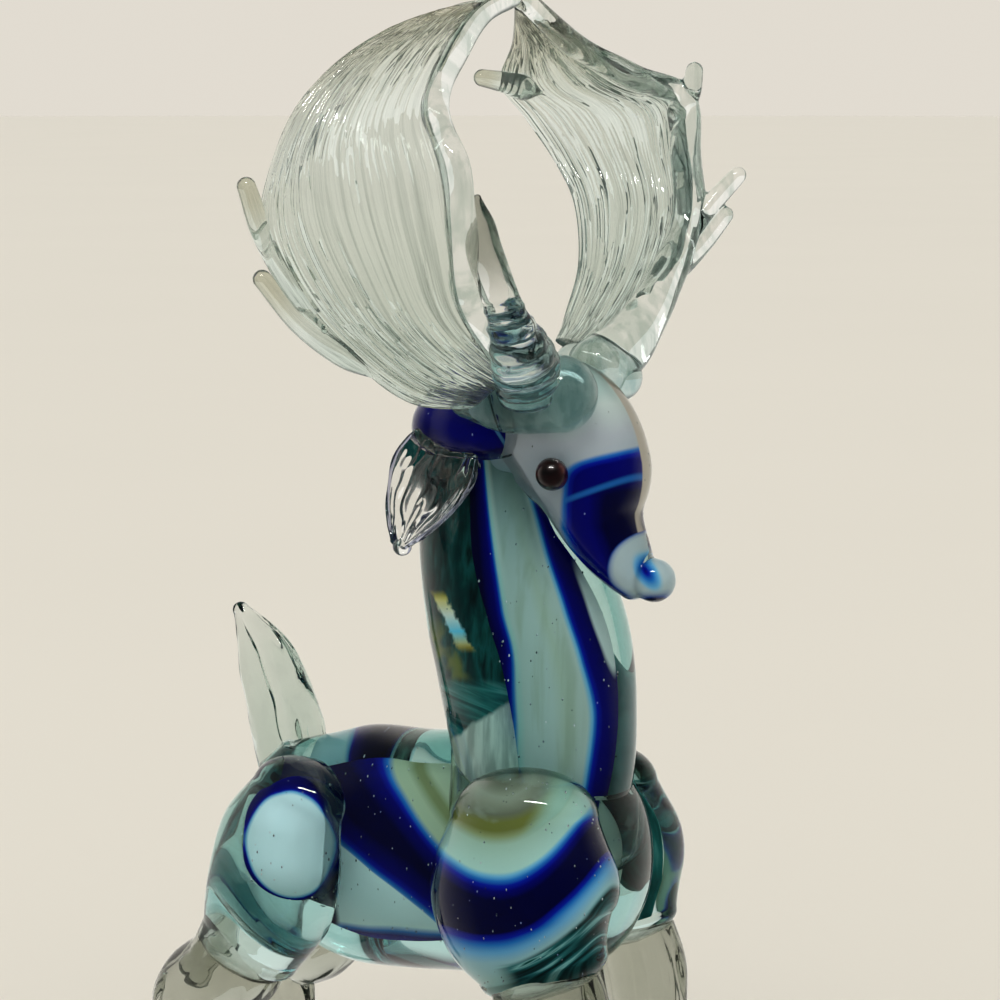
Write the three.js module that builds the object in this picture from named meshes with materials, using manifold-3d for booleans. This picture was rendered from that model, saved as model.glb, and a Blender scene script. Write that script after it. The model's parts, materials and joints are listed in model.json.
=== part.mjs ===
// A hot-worked glass deer, standing. Coloured cores lie inside clear casings, and each limb,
// ear, antler and the tail is a gather of its own, joined to its neighbour while hot.
// Millimetres. +X is the way the deer faces, +Y its left, +Z up, and the soles stand on Z = 0.
import * as THREE from "three";
import { mergeVertices } from "three/addons/utils/BufferGeometryUtils.js";
import Module from "manifold-3d";

const wasm = await Module();
wasm.setup();

// Joins
const SEAM = 0.3; // clearance between two gathers that meet
const SUNK = 2; // how far the neck's hidden foot starts above the torso's axis

// Torso: an axis that rises a little from rump to chest
const TORSO_LENGTH = 73;
const TORSO_HEIGHT = 41;
const TORSO_WIDTH = 32;
const TORSO_CASING = 7.5;
const RUMP_X = -42;
const AXIS_HEIGHT = 50.3;
const CHEST_RISE = 3.2;

// Neck
const NECK_RISE = 60;
const NECK_LEAN = 9.5;
const NECK_DEPTH = 32.5;
const NECK_WIDTH = 29;
const NECK_CASING = 8;
const NECK_CORE_FORWARD = 3; // its core lies nearer the throat than the nape
const NECK_SHARE = 0.765; // where the neck stands along the torso

// Crown: the back of the skull, a flattened lump on top of the neck
const CROWN_DEPTH = 26;
const CROWN_WIDTH = 25;
const CROWN_HEIGHT = 15.5;
const CROWN_CASING = 2.2;
const CROWN_LIFT = 6.8;
const CROWN_BACK = 1;
const POLL_LIFT = 8.3; // the place between the antlers, above the neck's top

// Head, bowed, with a blunt upturned nose
const HEAD_REACH = 25.8;
const HEAD_DROP = 25.3;
const HEAD_DEPTH = 24.6;
const HEAD_WIDTH = 21;
const HEAD_CASING = 2.4;
const HEAD_CORE_FORWARD = 1.2;
const NOSE_RADIUS = 3.5;
const EYE_RADIUS = 2.6;
const EYE_OUT = 9.6;

// Ears
const EAR_LENGTH = 17;
const EAR_WIDTH = 14.5;
const EAR_THICKNESS = 3.2;
const EAR_CUP = 3.2;
const EAR_BEAD = 1.5;

// Shoulders and haunches: large round gathers on the torso's sides
const SHOULDER_SHARE = 0.8274; // where along the torso
const SHOULDER_SUNK = 0.5; // how far inside the torso's side its middle stands
const SHOULDER_DEPTH = 31;
const SHOULDER_WIDTH = 24;
const SHOULDER_HEIGHT = 34;
const SHOULDER_CASING = 3.6;
const LEFT_SHOULDER_SHARE = 0.8; // the left shoulder is the smaller
const LEFT_SHOULDER_BACK = 0.8; // and stands a little further back
const HAUNCH_SHARE = 0.2055;
const HAUNCH_SUNK = 3.5;
const HAUNCH_DEPTH = 25;
const HAUNCH_WIDTH = 20;
const HAUNCH_HEIGHT = 38;
const HAUNCH_CORE_WIDTH = 12.4;
const HAUNCH_CORE_HEIGHT = 16;
const HAUNCH_CORE_FORWARD = 1.4;
const HAUNCH_CORE_OUT = 1;
const HAUNCH_CORE_UP = 3;

// Legs
const FORELEG_TOP = 9.2;
const FORELEG_ANKLE = 4.2;
const FORELEG_REACH = 8.5;
const HINDLEG_TOP = 8.2;
const HOCK_RADIUS = 6;
const HOCK_BACK = 21;
const HOCK_HEIGHT = 23;
const HINDLEG_ANKLE = 4.2;
const FOOT_LENGTH = 15;
const FOOT_WIDTH = 10;
const FOOT_HEIGHT = 3.2;

// Tail
const TAIL_HEIGHT = 25;
const TAIL_SWEEP = 10.5;
const TAIL_DEPTH = 14;
const TAIL_WIDTH = 9;
const TAIL_PINCH = 0.3;

// Antlers
const ROOT_RADIUS = 3.4;
const BEAM_RADIUS = 2.5;
const BEAM_FOOT = 1.7; // how much thicker the left beam starts
const PALM_THICKNESS = 2.6;
const PALM_BULGE = 8;
const TINE_RADIUS = 1.8;
const BROW_RADIUS = 6;
const BROW_THICKNESS = 4.2;

// Fineness of the facets
const ROUND = 14; // sides of a gather
const FINE = 20; // sides of the torso
const SLIM = 8; // sides of a tine
const CAP_RINGS = 2;
const STEPS = 2; // rings from one station to the next
const PALM_SIDES = 20;
const PALM_ROWS = 14;

const at = (x, y, z) => new THREE.Vector3(x, y, z);
const mix = THREE.MathUtils.lerp;

// Closes a row of rings, each with the same number of points, into one surface facing out.
function skin(rings) {
  const n = rings[0].length;
  const middle = (ring) => ring.reduce((sum, p) => sum.add(p), at(0, 0, 0)).divideScalar(n);
  const points = [middle(rings[0]), ...rings.flat(), middle(rings.at(-1))];
  const faces = [];
  const index = (row, k) => 1 + row * n + (k % n);
  for (let k = 0; k < n; k++) {
    faces.push(0, index(0, k + 1), index(0, k));
    faces.push(points.length - 1, index(rings.length - 1, k), index(rings.length - 1, k + 1));
  }
  for (let row = 0; row + 1 < rings.length; row++) {
    for (let k = 0; k < n; k++) {
      faces.push(index(row, k), index(row, k + 1), index(row + 1, k + 1));
      faces.push(index(row, k), index(row + 1, k + 1), index(row + 1, k));
    }
  }
  const geometry = new THREE.BufferGeometry().setFromPoints(points);
  geometry.setIndex(faces);
  return geometry;
}

// A geometry as a solid that can be cut and joined.
function solid(geometry) {
  const bare = geometry.clone();
  bare.deleteAttribute("normal");
  bare.deleteAttribute("uv");
  const merged = mergeVertices(bare, 1e-4);
  const made = (triVerts) =>
    new wasm.Manifold(
      new wasm.Mesh({ numProp: 3, vertProperties: merged.attributes.position.array, triVerts }),
    );
  const body = made(new Uint32Array(merged.index.array));
  return body.volume() > 0 ? body : made(new Uint32Array(merged.index.array).reverse());
}

// The smooth curve through a row of places.
const through = (places) => new THREE.CatmullRomCurve3(places, false, "catmullrom", 0.5);

// A smooth row of numbers, one for each station.
function smooth(values) {
  const curve = through(values.map((value, i) => at(i, value, 0)));
  return (t) => curve.getPoint(t).y;
}

// A gather: an oval carried along a smooth spine and closed by a round cap at each end.
// A station is { p, across, deep }: its place and its half sizes, across being the way along Y.
// The wall is taken off its size to give the core, and grow is added to give a cutter.
function gather(stations, options = {}) {
  const { wall = 0, grow = 0, shift = at(0, 0, 0), caps = [1, 1] } = options;
  const { cup = 0, pinch = 0, sides = ROUND, steps = STEPS } = options;
  const spine = through(stations.map((s) => s.p.clone().add(shift)));
  const across = smooth(stations.map((s) => s.across));
  const deep = smooth(stations.map((s) => s.deep));
  const thick = grow - wall;
  const ring = (t, share, ahead) => {
    const along = spine.getTangent(t);
    const side = at(0, 1, 0).addScaledVector(along, -along.y).normalize();
    const over = new THREE.Vector3().crossVectors(along, side);
    const centre = spine.getPoint(t).addScaledVector(along, ahead);
    return Array.from({ length: sides }, (_, k) => {
      const turn = (2 * Math.PI * k) / sides;
      const far = Math.sin(turn);
      const waist = 1 - pinch * Math.exp(-9 * far * far);
      const out = (across(t) + thick) * share * Math.cos(turn) * waist + cup * far * far * share;
      const up = (deep(t) + thick) * share * far;
      return centre.clone().addScaledVector(side, out).addScaledVector(over, up);
    });
  };
  const reach = (t, cap) => {
    const size = (across(t) + deep(t)) / 2;
    return Math.max(size * cap - wall, (size - wall) * 0.55) + grow;
  };
  const rings = [];
  for (let k = 1; k <= CAP_RINGS; k++) {
    const turn = (Math.PI / 2) * (k / (CAP_RINGS + 1));
    rings.push(ring(0, Math.sin(turn), -Math.cos(turn) * reach(0, caps[0])));
  }
  const count = (stations.length - 1) * steps;
  for (let k = 0; k <= count; k++) rings.push(ring(k / count, 1, 0));
  for (let k = CAP_RINGS; k >= 1; k--) {
    const turn = (Math.PI / 2) * (k / (CAP_RINGS + 1));
    rings.push(ring(1, Math.sin(turn), Math.cos(turn) * reach(1, caps[1])));
  }
  return solid(skin(rings));
}

// A gather in its four sizes. The cutters are larger than the bodies by the seam.
function lump(stations, options = {}) {
  const { wall = 0, forward = 0, ...rest } = options;
  const inner = { ...rest, wall, shift: at(forward, 0, 0) };
  return {
    outer: gather(stations, rest),
    cutter: gather(stations, { ...rest, grow: SEAM }),
    core: wall ? gather(stations, inner) : null,
    coreCutter: wall ? gather(stations, { ...inner, grow: SEAM }) : null,
  };
}

function ball(centre, radius) {
  return solid(new THREE.IcosahedronGeometry(radius, 2).translate(centre.x, centre.y, centre.z));
}

// What is left of a body after its neighbours are cut away, without any stray flake.
function without(body, ...neighbours) {
  const left = neighbours.reduce((rest, cutter) => rest.subtract(cutter), body);
  return left.decompose().reduce((a, b) => (b.volume() > a.volume() ? b : a));
}

// Everything below the surface that the deer stands on
const GROUND_SPAN = TORSO_LENGTH * 5;
const GROUND_DEPTH = HOCK_HEIGHT * 2;
const GROUND = solid(
  new THREE.BoxGeometry(GROUND_SPAN, GROUND_SPAN, GROUND_DEPTH).translate(0, 0, -GROUND_DEPTH / 2),
);

const GLASS = {
  aqua: { color: 0x9cc7c4, roughness: 0.04, metalness: 0, transparent: true, opacity: 0.35 },
  clear: { color: 0xdfe5df, roughness: 0.05, metalness: 0, transparent: true, opacity: 0.4 },
  cobalt: { color: 0x0a1a8c, roughness: 0.12, metalness: 0 },
  milk: { color: 0xbfd9da, roughness: 0.15, metalness: 0 },
  amber: { color: 0x2a0d08, roughness: 0.08, metalness: 0 },
};

const deer = new THREE.Group();

function add(name, body, finish) {
  const mesh = body.getMesh();
  const geometry = new THREE.BufferGeometry();
  geometry.setAttribute("position", new THREE.BufferAttribute(mesh.vertProperties, 3));
  geometry.setIndex(new THREE.BufferAttribute(mesh.triVerts, 1));
  geometry.computeVertexNormals();
  const piece = new THREE.Mesh(geometry, new THREE.MeshStandardMaterial(GLASS[finish]));
  piece.name = name;
  deer.add(piece);
}

// Torso
function torsoAxis(share) {
  const rise = THREE.MathUtils.smoothstep(share, 0.3, 0.85) * CHEST_RISE;
  return at(RUMP_X + share * TORSO_LENGTH, 0, AXIS_HEIGHT + rise);
}
const torsoShape = [
  { share: 0.14, high: 0.82, wide: 0.8 },
  { share: 0.3, high: 0.97, wide: 0.95 },
  { share: 0.5, high: 0.97, wide: 1 },
  { share: 0.68, high: 0.97, wide: 1 },
  { share: 0.82, high: 0.9, wide: 0.96 },
];
const torso = lump(
  torsoShape.map((s) => ({
    p: torsoAxis(s.share),
    across: (s.wide * TORSO_WIDTH) / 2,
    deep: (s.high * TORSO_HEIGHT) / 2,
  })),
  { wall: TORSO_CASING, caps: [0.75, 0.8], sides: FINE },
);

// Neck
const neckFoot = torsoAxis(NECK_SHARE).add(at(0, 0, SUNK));
const neckShape = [
  { share: 0, lean: 0.12, size: 0.8 },
  { share: 0.2, lean: 0.02, size: 0.92 },
  { share: 0.37, lean: 0.1, size: 0.98 },
  { share: 0.52, lean: 0.25, size: 1 },
  { share: 0.64, lean: 0.47, size: 0.98 },
  { share: 0.79, lean: 0.76, size: 0.9 },
  { share: 1, lean: 1, size: 0.78 },
];
const neck = lump(
  neckShape.map((s) => ({
    p: neckFoot.clone().add(at(-s.lean * NECK_LEAN, 0, s.share * NECK_RISE)),
    across: (s.size * NECK_WIDTH) / 2,
    deep: (s.size * NECK_DEPTH) / 2,
  })),
  { wall: NECK_CASING, forward: NECK_CORE_FORWARD, caps: [0.4, 0.6] },
);
const nape = neckFoot.clone().add(at(-NECK_LEAN, 0, NECK_RISE));

// Crown
const crownCentre = nape.clone().add(at(-CROWN_BACK, 0, CROWN_LIFT));
const crown = lump(
  [-1, 0, 1].map((s) => ({
    p: crownCentre.clone().add(at(s * CROWN_DEPTH * 0.16, 0, 0)),
    across: (CROWN_WIDTH / 2) * (s < 0 ? 0.92 : 1),
    deep: (CROWN_HEIGHT / 2) * (1 - 0.08 * s * s),
  })),
  { wall: CROWN_CASING, caps: [0.8, 0.8] },
);

// Head, counted from the poll
const poll = nape.clone().add(at(0, 0, POLL_LIFT));
const headAxis = (reach, drop) => poll.clone().add(at(reach * HEAD_REACH, 0, -drop * HEAD_DROP));
const headShape = [
  { reach: 0.2, drop: 0.07, deep: 0.86, wide: 0.86 },
  { reach: 0.46, drop: 0.1, deep: 1, wide: 1 },
  { reach: 0.665, drop: 0.34, deep: 0.88, wide: 0.92 },
  { reach: 0.77, drop: 0.64, deep: 0.55, wide: 0.7 },
  { reach: 0.93, drop: 0.88, deep: 0.38, wide: 0.46 },
  { reach: 1.02, drop: 1, deep: 0.26, wide: 0.3 },
];
const head = lump(
  headShape.map((s) => ({
    p: headAxis(s.reach, s.drop),
    across: (s.wide * HEAD_WIDTH) / 2,
    deep: (s.deep * HEAD_DEPTH) / 2,
  })),
  { wall: HEAD_CASING, forward: HEAD_CORE_FORWARD, caps: [0.6, 0.6] },
);
const noseCentre = headAxis(1.12, 0.96);
const noseBall = (grow) => ball(noseCentre, NOSE_RADIUS + grow);
const headOuter = head.outer.add(noseBall(0));
const headCutter = head.cutter.add(noseBall(SEAM));

// Torso, neck, crown and head, each a core in a casing. The neck's core runs down to the
// torso's, so that the two colours meet.
add("torso_core", torso.core, "cobalt");
add("torso_casing", without(torso.outer, torso.coreCutter, neck.coreCutter), "aqua");
add("neck_core", without(neck.core, torso.coreCutter), "milk");
add("neck_casing", without(neck.outer, torso.cutter, neck.coreCutter), "aqua");
add("crown_core", without(crown.core, neck.cutter), "cobalt");
add("crown_casing", without(crown.outer, neck.cutter, crown.coreCutter), "aqua");

const eyeAt = (s) => headAxis(0.62, 0.29).setY(s * EYE_OUT);
const eyeHoles = [-1, 1].map((s) => ball(eyeAt(s), EYE_RADIUS + SEAM));
const headNeighbours = [neck.cutter, crown.cutter, ...eyeHoles];
add("head_core", without(head.core, ...headNeighbours), "milk");
add("head_casing", without(headOuter, ...headNeighbours, head.coreCutter), "clear");

// Every later gather is cut back by all that stand before it.
const standing = [torso.cutter, neck.cutter, crown.cutter, headCutter];

function addGather(name, made, finish, ...extra) {
  const inside = made.core ? [made.coreCutter] : [];
  add(name, without(made.outer, ...standing, ...inside, ...extra), finish);
  standing.push(made.cutter);
}

// Shoulders and haunches
const limb = (centre, s, sizes, stations, options) =>
  lump(
    stations.map((station) => ({
      p: at(
        centre.x + station.x * sizes.depth,
        centre.y + s * station.out * sizes.width,
        centre.z + (station.up * sizes.height) / 2,
      ),
      across: (station.size * sizes.width) / 2,
      deep: (station.size * sizes.depth) / 2,
    })),
    options,
  );

function shoulderCentre(s) {
  const back = s > 0 ? LEFT_SHOULDER_BACK : 0;
  const out = TORSO_WIDTH / 2 - SHOULDER_SUNK;
  return at(torsoAxis(SHOULDER_SHARE).x - back, s * out, AXIS_HEIGHT + CHEST_RISE * 0.5);
}
function shoulderOf(s, scale) {
  const sizes = {
    depth: SHOULDER_DEPTH * scale,
    width: SHOULDER_WIDTH * scale,
    height: SHOULDER_HEIGHT,
  };
  const stations = [
    { x: -0.03, out: -0.1, up: 0.6, size: 0.8 },
    { x: 0, out: -0.02, up: 0.12, size: 1 },
    { x: 0.04, out: 0, up: -0.32, size: 0.95 },
    { x: 0.12, out: 0, up: -0.72, size: 0.72 },
  ];
  return limb(shoulderCentre(s), s, sizes, stations, { wall: SHOULDER_CASING, caps: [0.74, 0.5] });
}

const haunchCentre = (s) => torsoAxis(HAUNCH_SHARE).setY(s * (TORSO_WIDTH / 2 - HAUNCH_SUNK));
function haunchOf(s) {
  const sizes = { depth: HAUNCH_DEPTH, width: HAUNCH_WIDTH, height: HAUNCH_HEIGHT };
  const stations = [
    { x: 0.1, out: -0.08, up: 0.5, size: 0.8 },
    { x: 0, out: 0, up: 0.1, size: 1 },
    { x: -0.14, out: 0.05, up: -0.4, size: 0.92 },
    { x: -0.3, out: 0.05, up: -0.85, size: 0.72 },
  ];
  const round = (grow) => haunchCoreOf(s, grow);
  return {
    ...limb(haunchCentre(s), s, sizes, stations, { caps: [0.7, 0.5] }),
    core: round(0),
    coreCutter: round(SEAM),
  };
}

// The haunch's core: an upright oval, nearer its outer side
function haunchCoreOf(s, grow) {
  const middle = haunchCentre(s).add(at(HAUNCH_CORE_FORWARD, s * HAUNCH_CORE_OUT, HAUNCH_CORE_UP));
  const half = HAUNCH_CORE_WIDTH / 2;
  const stretch = HAUNCH_CORE_HEIGHT / 2 - half;
  const stations = [-1, 1].map((end) => ({
    p: middle.clone().add(at(0, 0, end * stretch)),
    across: half,
    deep: half,
  }));
  return gather(stations, { grow, steps: 1 });
}

// A leg starts inside its gather and ends in a foot pressed flat on the ground.
const footStations = (x, y) => [
  { p: at(x + FOOT_LENGTH * 0.08, y, FOOT_HEIGHT), across: FOOT_WIDTH * 0.46, deep: FOOT_LENGTH * 0.44 },
  { p: at(x + FOOT_LENGTH * 0.12, y, 0.2), across: FOOT_WIDTH / 2, deep: FOOT_LENGTH / 2 },
];

function forelegOf(s, scale) {
  const hip = shoulderCentre(s);
  const top = hip.z - SHOULDER_HEIGHT * 0.36;
  const foot = hip.x + FORELEG_REACH;
  const y = hip.y + s * 0.5;
  const thick = FORELEG_TOP * scale;
  const stations = [
    { p: at(hip.x + FORELEG_REACH * 0.41, hip.y, top), across: thick * 0.86, deep: thick * 0.95 },
    { p: at(hip.x + FORELEG_REACH * 0.7, y, top * 0.78), across: thick * 0.86, deep: thick },
    { p: at(foot - 1, y, top * 0.5), across: FORELEG_ANKLE * 1.35, deep: FORELEG_ANKLE * 1.4 },
    { p: at(foot - 0.5, y, top * 0.26), across: FORELEG_ANKLE, deep: FORELEG_ANKLE },
    ...footStations(foot, y),
  ];
  return lump(stations, { caps: [0.4, 0.3] });
}

function hindlegOf(s) {
  const hip = haunchCentre(s);
  const top = hip.z - HAUNCH_HEIGHT * 0.4;
  const hock = hip.x - HOCK_BACK;
  const y = hip.y + s * 1.5;
  const ankle = HINDLEG_ANKLE;
  const stations = [
    { p: at(hip.x - HOCK_BACK / 3, y, top + 2), across: HINDLEG_TOP * 0.86, deep: HINDLEG_TOP },
    {
      p: at(hock + HOCK_BACK * 0.452, y, HOCK_HEIGHT * 1.283),
      across: HINDLEG_TOP * 0.86,
      deep: HINDLEG_TOP,
    },
    { p: at(hock + 1, y, HOCK_HEIGHT), across: HOCK_RADIUS * 0.85, deep: HOCK_RADIUS * 1.15 },
    { p: at(hock + 2, y, HOCK_HEIGHT * 0.58), across: ankle * 1.1, deep: ankle * 1.25 },
    { p: at(hock + 3.5, y, HOCK_HEIGHT * 0.34), across: ankle, deep: ankle },
    ...footStations(hock + HOCK_BACK * 0.19, y),
  ];
  return lump(stations, { caps: [0.4, 0.3] });
}

// Ears: cupped leaves that hang from the crown's sides and end in a bead
function earOf(s) {
  const root = crownCentre.clone().add(at(-1.75, s * (CROWN_WIDTH / 2 - 3.2), -2.75));
  const tip = root.clone().add(at(-0.26, s * 0.41, -0.9).multiplyScalar(EAR_LENGTH));
  const shape = [
    { share: 0, wide: 0.85 },
    { share: 0.3, wide: 1 },
    { share: 0.65, wide: 0.74 },
    { share: 1, wide: 0.2 },
  ];
  const stations = shape.map((e) => ({
    p: root.clone().lerp(tip, e.share),
    across: EAR_THICKNESS / 2,
    deep: (e.wide * EAR_WIDTH) / 2,
  }));
  const leaf = lump(stations, { caps: [0.4, 0.4], cup: s * EAR_CUP * 0.5 });
  return { outer: leaf.outer.add(ball(tip, EAR_BEAD)), cutter: leaf.cutter };
}

// Antlers. Each was drawn out by hand, so each has edges of its own, counted from the poll:
// "front" and "rear" are the palm's two long edges from root to top.
const ANTLERS = {
  right: {
    root: [[2, -11, 4], [9, -11, 3.5], [16.5, -8.5, 5]],
    rootSwell: 1.8,
    foot: 0,
    brow: [[13.6, -12, 6.2], [14, -15.5, 11.5], [14, -21, 19], [12.4, -24, 27], [12, -25.5, 35]],
    front: [
      [13.9, -8, 4.2], [9.2, -14, 12.2], [8.4, -21, 19.6], [10.2, -27, 30.4], [9.2, -28, 40],
      [4.3, -25, 48.8], [4, -19, 56.9], [5.3, -13, 63], [7.7, -8, 65.8],
    ],
    rear: [
      [7, -10, 3.2], [-2.4, -20, 3.6], [-9.3, -29, 11.8], [-13.7, -36, 19.7], [-16.8, -40, 29.5],
      [-14.2, -41, 40], [-10.9, -37, 50.3], [-4.5, -29, 58.7], [3.2, -17, 63.7],
    ],
    frontTines: [],
    rearTines: [
      [[-8.7, -30, 11.6], [-12.8, -36, 16.7], [-16.2, -41, 23.5]],
      [[-11.4, -38, 21.4], [-14.9, -42, 29.7], [-16.1, -45, 37.4]],
    ],
  },
  left: {
    root: [[9.8, 9, 7.9], [13.5, 10, 7.4], [16.6, 11, 6]],
    rootSwell: 1.15,
    foot: BEAM_FOOT,
    front: [
      [14.4, 9, 7.5], [17.4, 14, 12], [18.4, 24, 21.2], [18.9, 31, 30.6], [16.9, 34, 41.1],
      [16.5, 33, 50], [10.1, 27, 53.6], [3.3, 19, 59.2], [0, 9, 66],
    ],
    rear: [
      [6.2, 8, 10.4], [5.3, 14, 15.6], [3.8, 21, 23.2], [-0.4, 27, 32.7], [-5.5, 29, 40],
      [-9.6, 27, 46.7], [-11.5, 22, 52.4], [-5.8, 16, 58.9], [-1.4, 9, 65],
    ],
    frontTines: [
      [[16, 33, 47.5], [18.1, 33, 51], [18.8, 33, 54.5]],
      [[18.9, 29, 27], [21.8, 33, 32.5], [25.4, 36, 37.5]],
      [[18.6, 26, 22], [21.4, 31, 26.5], [23.6, 35, 31]],
    ],
    rearTines: [[[-7.3, 23, 51.6], [-10, 20.5, 52.6], [-12.6, 18, 53.3]]],
  },
};
const fromPoll = ([x, y, z]) => poll.clone().add(at(x, y, z));
const rod = (places, from, to, foot = 0) =>
  places.map((place, i) => {
    const size = mix(from, to, i / (places.length - 1)) + foot * Math.max(0, 1 - i / 2.2);
    return { p: fromPoll(place), across: size, deep: size };
  });

// The palm: a thin bulging sheet between its two edges, with rounded rims.
function palm(front, rear, outward) {
  const frontEdge = through(front.map(fromPoll));
  const rearEdge = through(rear.map(fromPoll));
  const place = (u, v) => {
    const bulge = 4 * u * (1 - u) * Math.sin(Math.PI * Math.min(1, v * 1.05)) * PALM_BULGE;
    return rearEdge.getPoint(v).lerp(frontEdge.getPoint(v), u).add(at(0, outward * bulge, 0));
  };
  const rings = Array.from({ length: PALM_ROWS + 1 }, (_, row) => {
    const v = 0.03 + (0.96 * row) / PALM_ROWS;
    return Array.from({ length: PALM_SIDES }, (_, k) => {
      const turn = (2 * Math.PI * k) / PALM_SIDES;
      const u = (1 - Math.cos(turn)) / 2;
      const along = place(u, Math.min(1, v + 0.02)).sub(place(u, Math.max(0, v - 0.02)));
      const aside = place(Math.min(1, u + 0.05), v).sub(place(Math.max(0, u - 0.05), v));
      const normal = along.cross(aside).normalize();
      const half = (PALM_THICKNESS / 2) * Math.sign(Math.sin(turn)) * Math.abs(Math.sin(turn)) ** 0.4;
      return place(u, v).addScaledVector(normal, half);
    });
  });
  return solid(skin(rings));
}

function browOf(places) {
  const across = [0.9, 0.85, 0.42, 0.4, 0.12];
  const deep = [0.9, 0.82, 0.55, 0.48, 0.12];
  const stations = places.map((place, i) => ({
    p: fromPoll(place),
    across: i < 2 ? across[i] * BROW_RADIUS : (across[i] / 0.42) * (BROW_THICKNESS / 2),
    deep: deep[i] * BROW_RADIUS,
  }));
  return lump(stations, { caps: [0.5, 1] });
}

const tineOf = (places) =>
  lump(rod(places, TINE_RADIUS * 1.15, TINE_RADIUS * 0.8), { sides: SLIM });

function antlerOf(side, s) {
  const shape = ANTLERS[side];
  const root = lump(rod(shape.root, ROOT_RADIUS, ROOT_RADIUS * shape.rootSwell), { steps: 1 });
  addGather(`${side}_antler_root`, root, "aqua");
  if (shape.brow) addGather(`${side}_brow_tine`, browOf(shape.brow), "clear");
  const beamStations = rod(shape.front, BEAM_RADIUS * 1.25, BEAM_RADIUS * 0.75, shape.foot);
  const beam = lump(beamStations, { sides: 10 });
  for (const tine of shape.frontTines.map(tineOf)) {
    beam.outer = beam.outer.add(tine.outer);
    beam.cutter = beam.cutter.add(tine.cutter);
  }
  addGather(`${side}_antler_beam`, beam, "clear");
  const sheet = shape.rearTines.map(tineOf).reduce(
    (rest, tine) => rest.add(tine.outer),
    palm(shape.front, shape.rear, s),
  );
  add(`${side}_antler_palm`, without(sheet, ...standing), "clear");
}

// The pieces of each side, the right one first
for (const [side, s, scale] of [["right", -1, 1], ["left", 1, LEFT_SHOULDER_SHARE]]) {
  add(`${side}_eye`, ball(eyeAt(s), EYE_RADIUS), "amber");
  const shoulder = shoulderOf(s, scale);
  const haunch = haunchOf(s);
  add(`${side}_shoulder_core`, without(shoulder.core, ...standing), "cobalt");
  addGather(`${side}_shoulder_casing`, shoulder, "aqua");
  add(`${side}_haunch_core`, without(haunch.core, ...standing), "milk");
  addGather(`${side}_haunch_casing`, haunch, "aqua");
  addGather(`${side}_foreleg`, forelegOf(s, scale), "clear", GROUND);
  addGather(`${side}_hindleg`, hindlegOf(s), "clear", GROUND);
  antlerOf(side, s);
  addGather(`${side}_ear`, earOf(s), "clear");
}

// Tail: a pinched leaf that stands up from the rump
const tailFoot = torsoAxis(0.1).add(at(0, 0, TORSO_HEIGHT * 0.3));
const tailShape = [
  { up: 0, back: 0, wide: 0.95, thick: 1 },
  { up: 0.35, back: 0.2, wide: 1, thick: 0.85 },
  { up: 0.7, back: 0.55, wide: 0.8, thick: 0.6 },
  { up: 1, back: 1, wide: 0.22, thick: 0.3 },
];
const tail = lump(
  tailShape.map((s) => ({
    p: tailFoot.clone().add(at(-s.back * TAIL_SWEEP, 0, s.up * TAIL_HEIGHT)),
    across: (s.thick * TAIL_WIDTH) / 2,
    deep: (s.wide * TAIL_DEPTH) / 2,
  })),
  { caps: [0.3, 1], pinch: TAIL_PINCH },
);
addGather("tail", tail, "clear");

// The origin is under the middle of the whole deer, on the ground.
const box = new THREE.Box3().setFromObject(deer);
const centre = box.getCenter(at(0, 0, 0));
deer.position.set(-centre.x, -centre.y, 0);

export default deer;
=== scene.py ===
"""The looks of a hot-worked glass deer: coloured cores in aqua casings and ribbed clear antlers.

Sizes and places are in millimetres, in the deer's own frame: +X is the way it faces, +Y its left,
+Z up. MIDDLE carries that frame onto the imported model's.
"""

import json
import math
from functools import partial

import bpy
import numpy as np
from mathutils import Matrix, Vector

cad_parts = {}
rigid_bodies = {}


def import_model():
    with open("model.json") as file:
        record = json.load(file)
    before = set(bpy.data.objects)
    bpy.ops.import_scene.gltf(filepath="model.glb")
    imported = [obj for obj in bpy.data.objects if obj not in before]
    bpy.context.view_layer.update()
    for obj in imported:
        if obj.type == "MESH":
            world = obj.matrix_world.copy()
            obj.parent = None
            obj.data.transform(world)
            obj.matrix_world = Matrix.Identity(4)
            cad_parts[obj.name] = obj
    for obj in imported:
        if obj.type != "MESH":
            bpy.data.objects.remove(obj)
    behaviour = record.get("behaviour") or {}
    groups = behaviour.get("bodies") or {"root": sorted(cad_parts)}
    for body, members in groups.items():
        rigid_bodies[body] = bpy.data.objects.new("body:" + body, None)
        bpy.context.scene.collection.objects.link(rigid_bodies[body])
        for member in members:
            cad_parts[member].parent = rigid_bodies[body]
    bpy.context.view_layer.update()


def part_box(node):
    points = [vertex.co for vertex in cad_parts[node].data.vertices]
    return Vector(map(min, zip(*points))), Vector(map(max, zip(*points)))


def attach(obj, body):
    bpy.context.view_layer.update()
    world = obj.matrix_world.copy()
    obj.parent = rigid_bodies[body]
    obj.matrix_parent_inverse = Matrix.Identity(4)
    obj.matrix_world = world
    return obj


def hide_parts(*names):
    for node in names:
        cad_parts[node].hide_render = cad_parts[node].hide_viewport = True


bl_info = {
    "name": "Glass deer",
    "version": (1, 0, 0),
    "blender": (4, 5, 0),
    "location": "3D View > Sidebar > Glass deer",
    "description": "Builds a hot-worked glass deer with cased colours and ribbed antlers",
    "category": "Add Mesh",
}

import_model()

MM = 0.001
SINK = 0.35  # how far a gather reaches into the one that it is fused to
SIDES = ((-1, "right"), (1, "left"))


# Sizes of the deer

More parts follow.
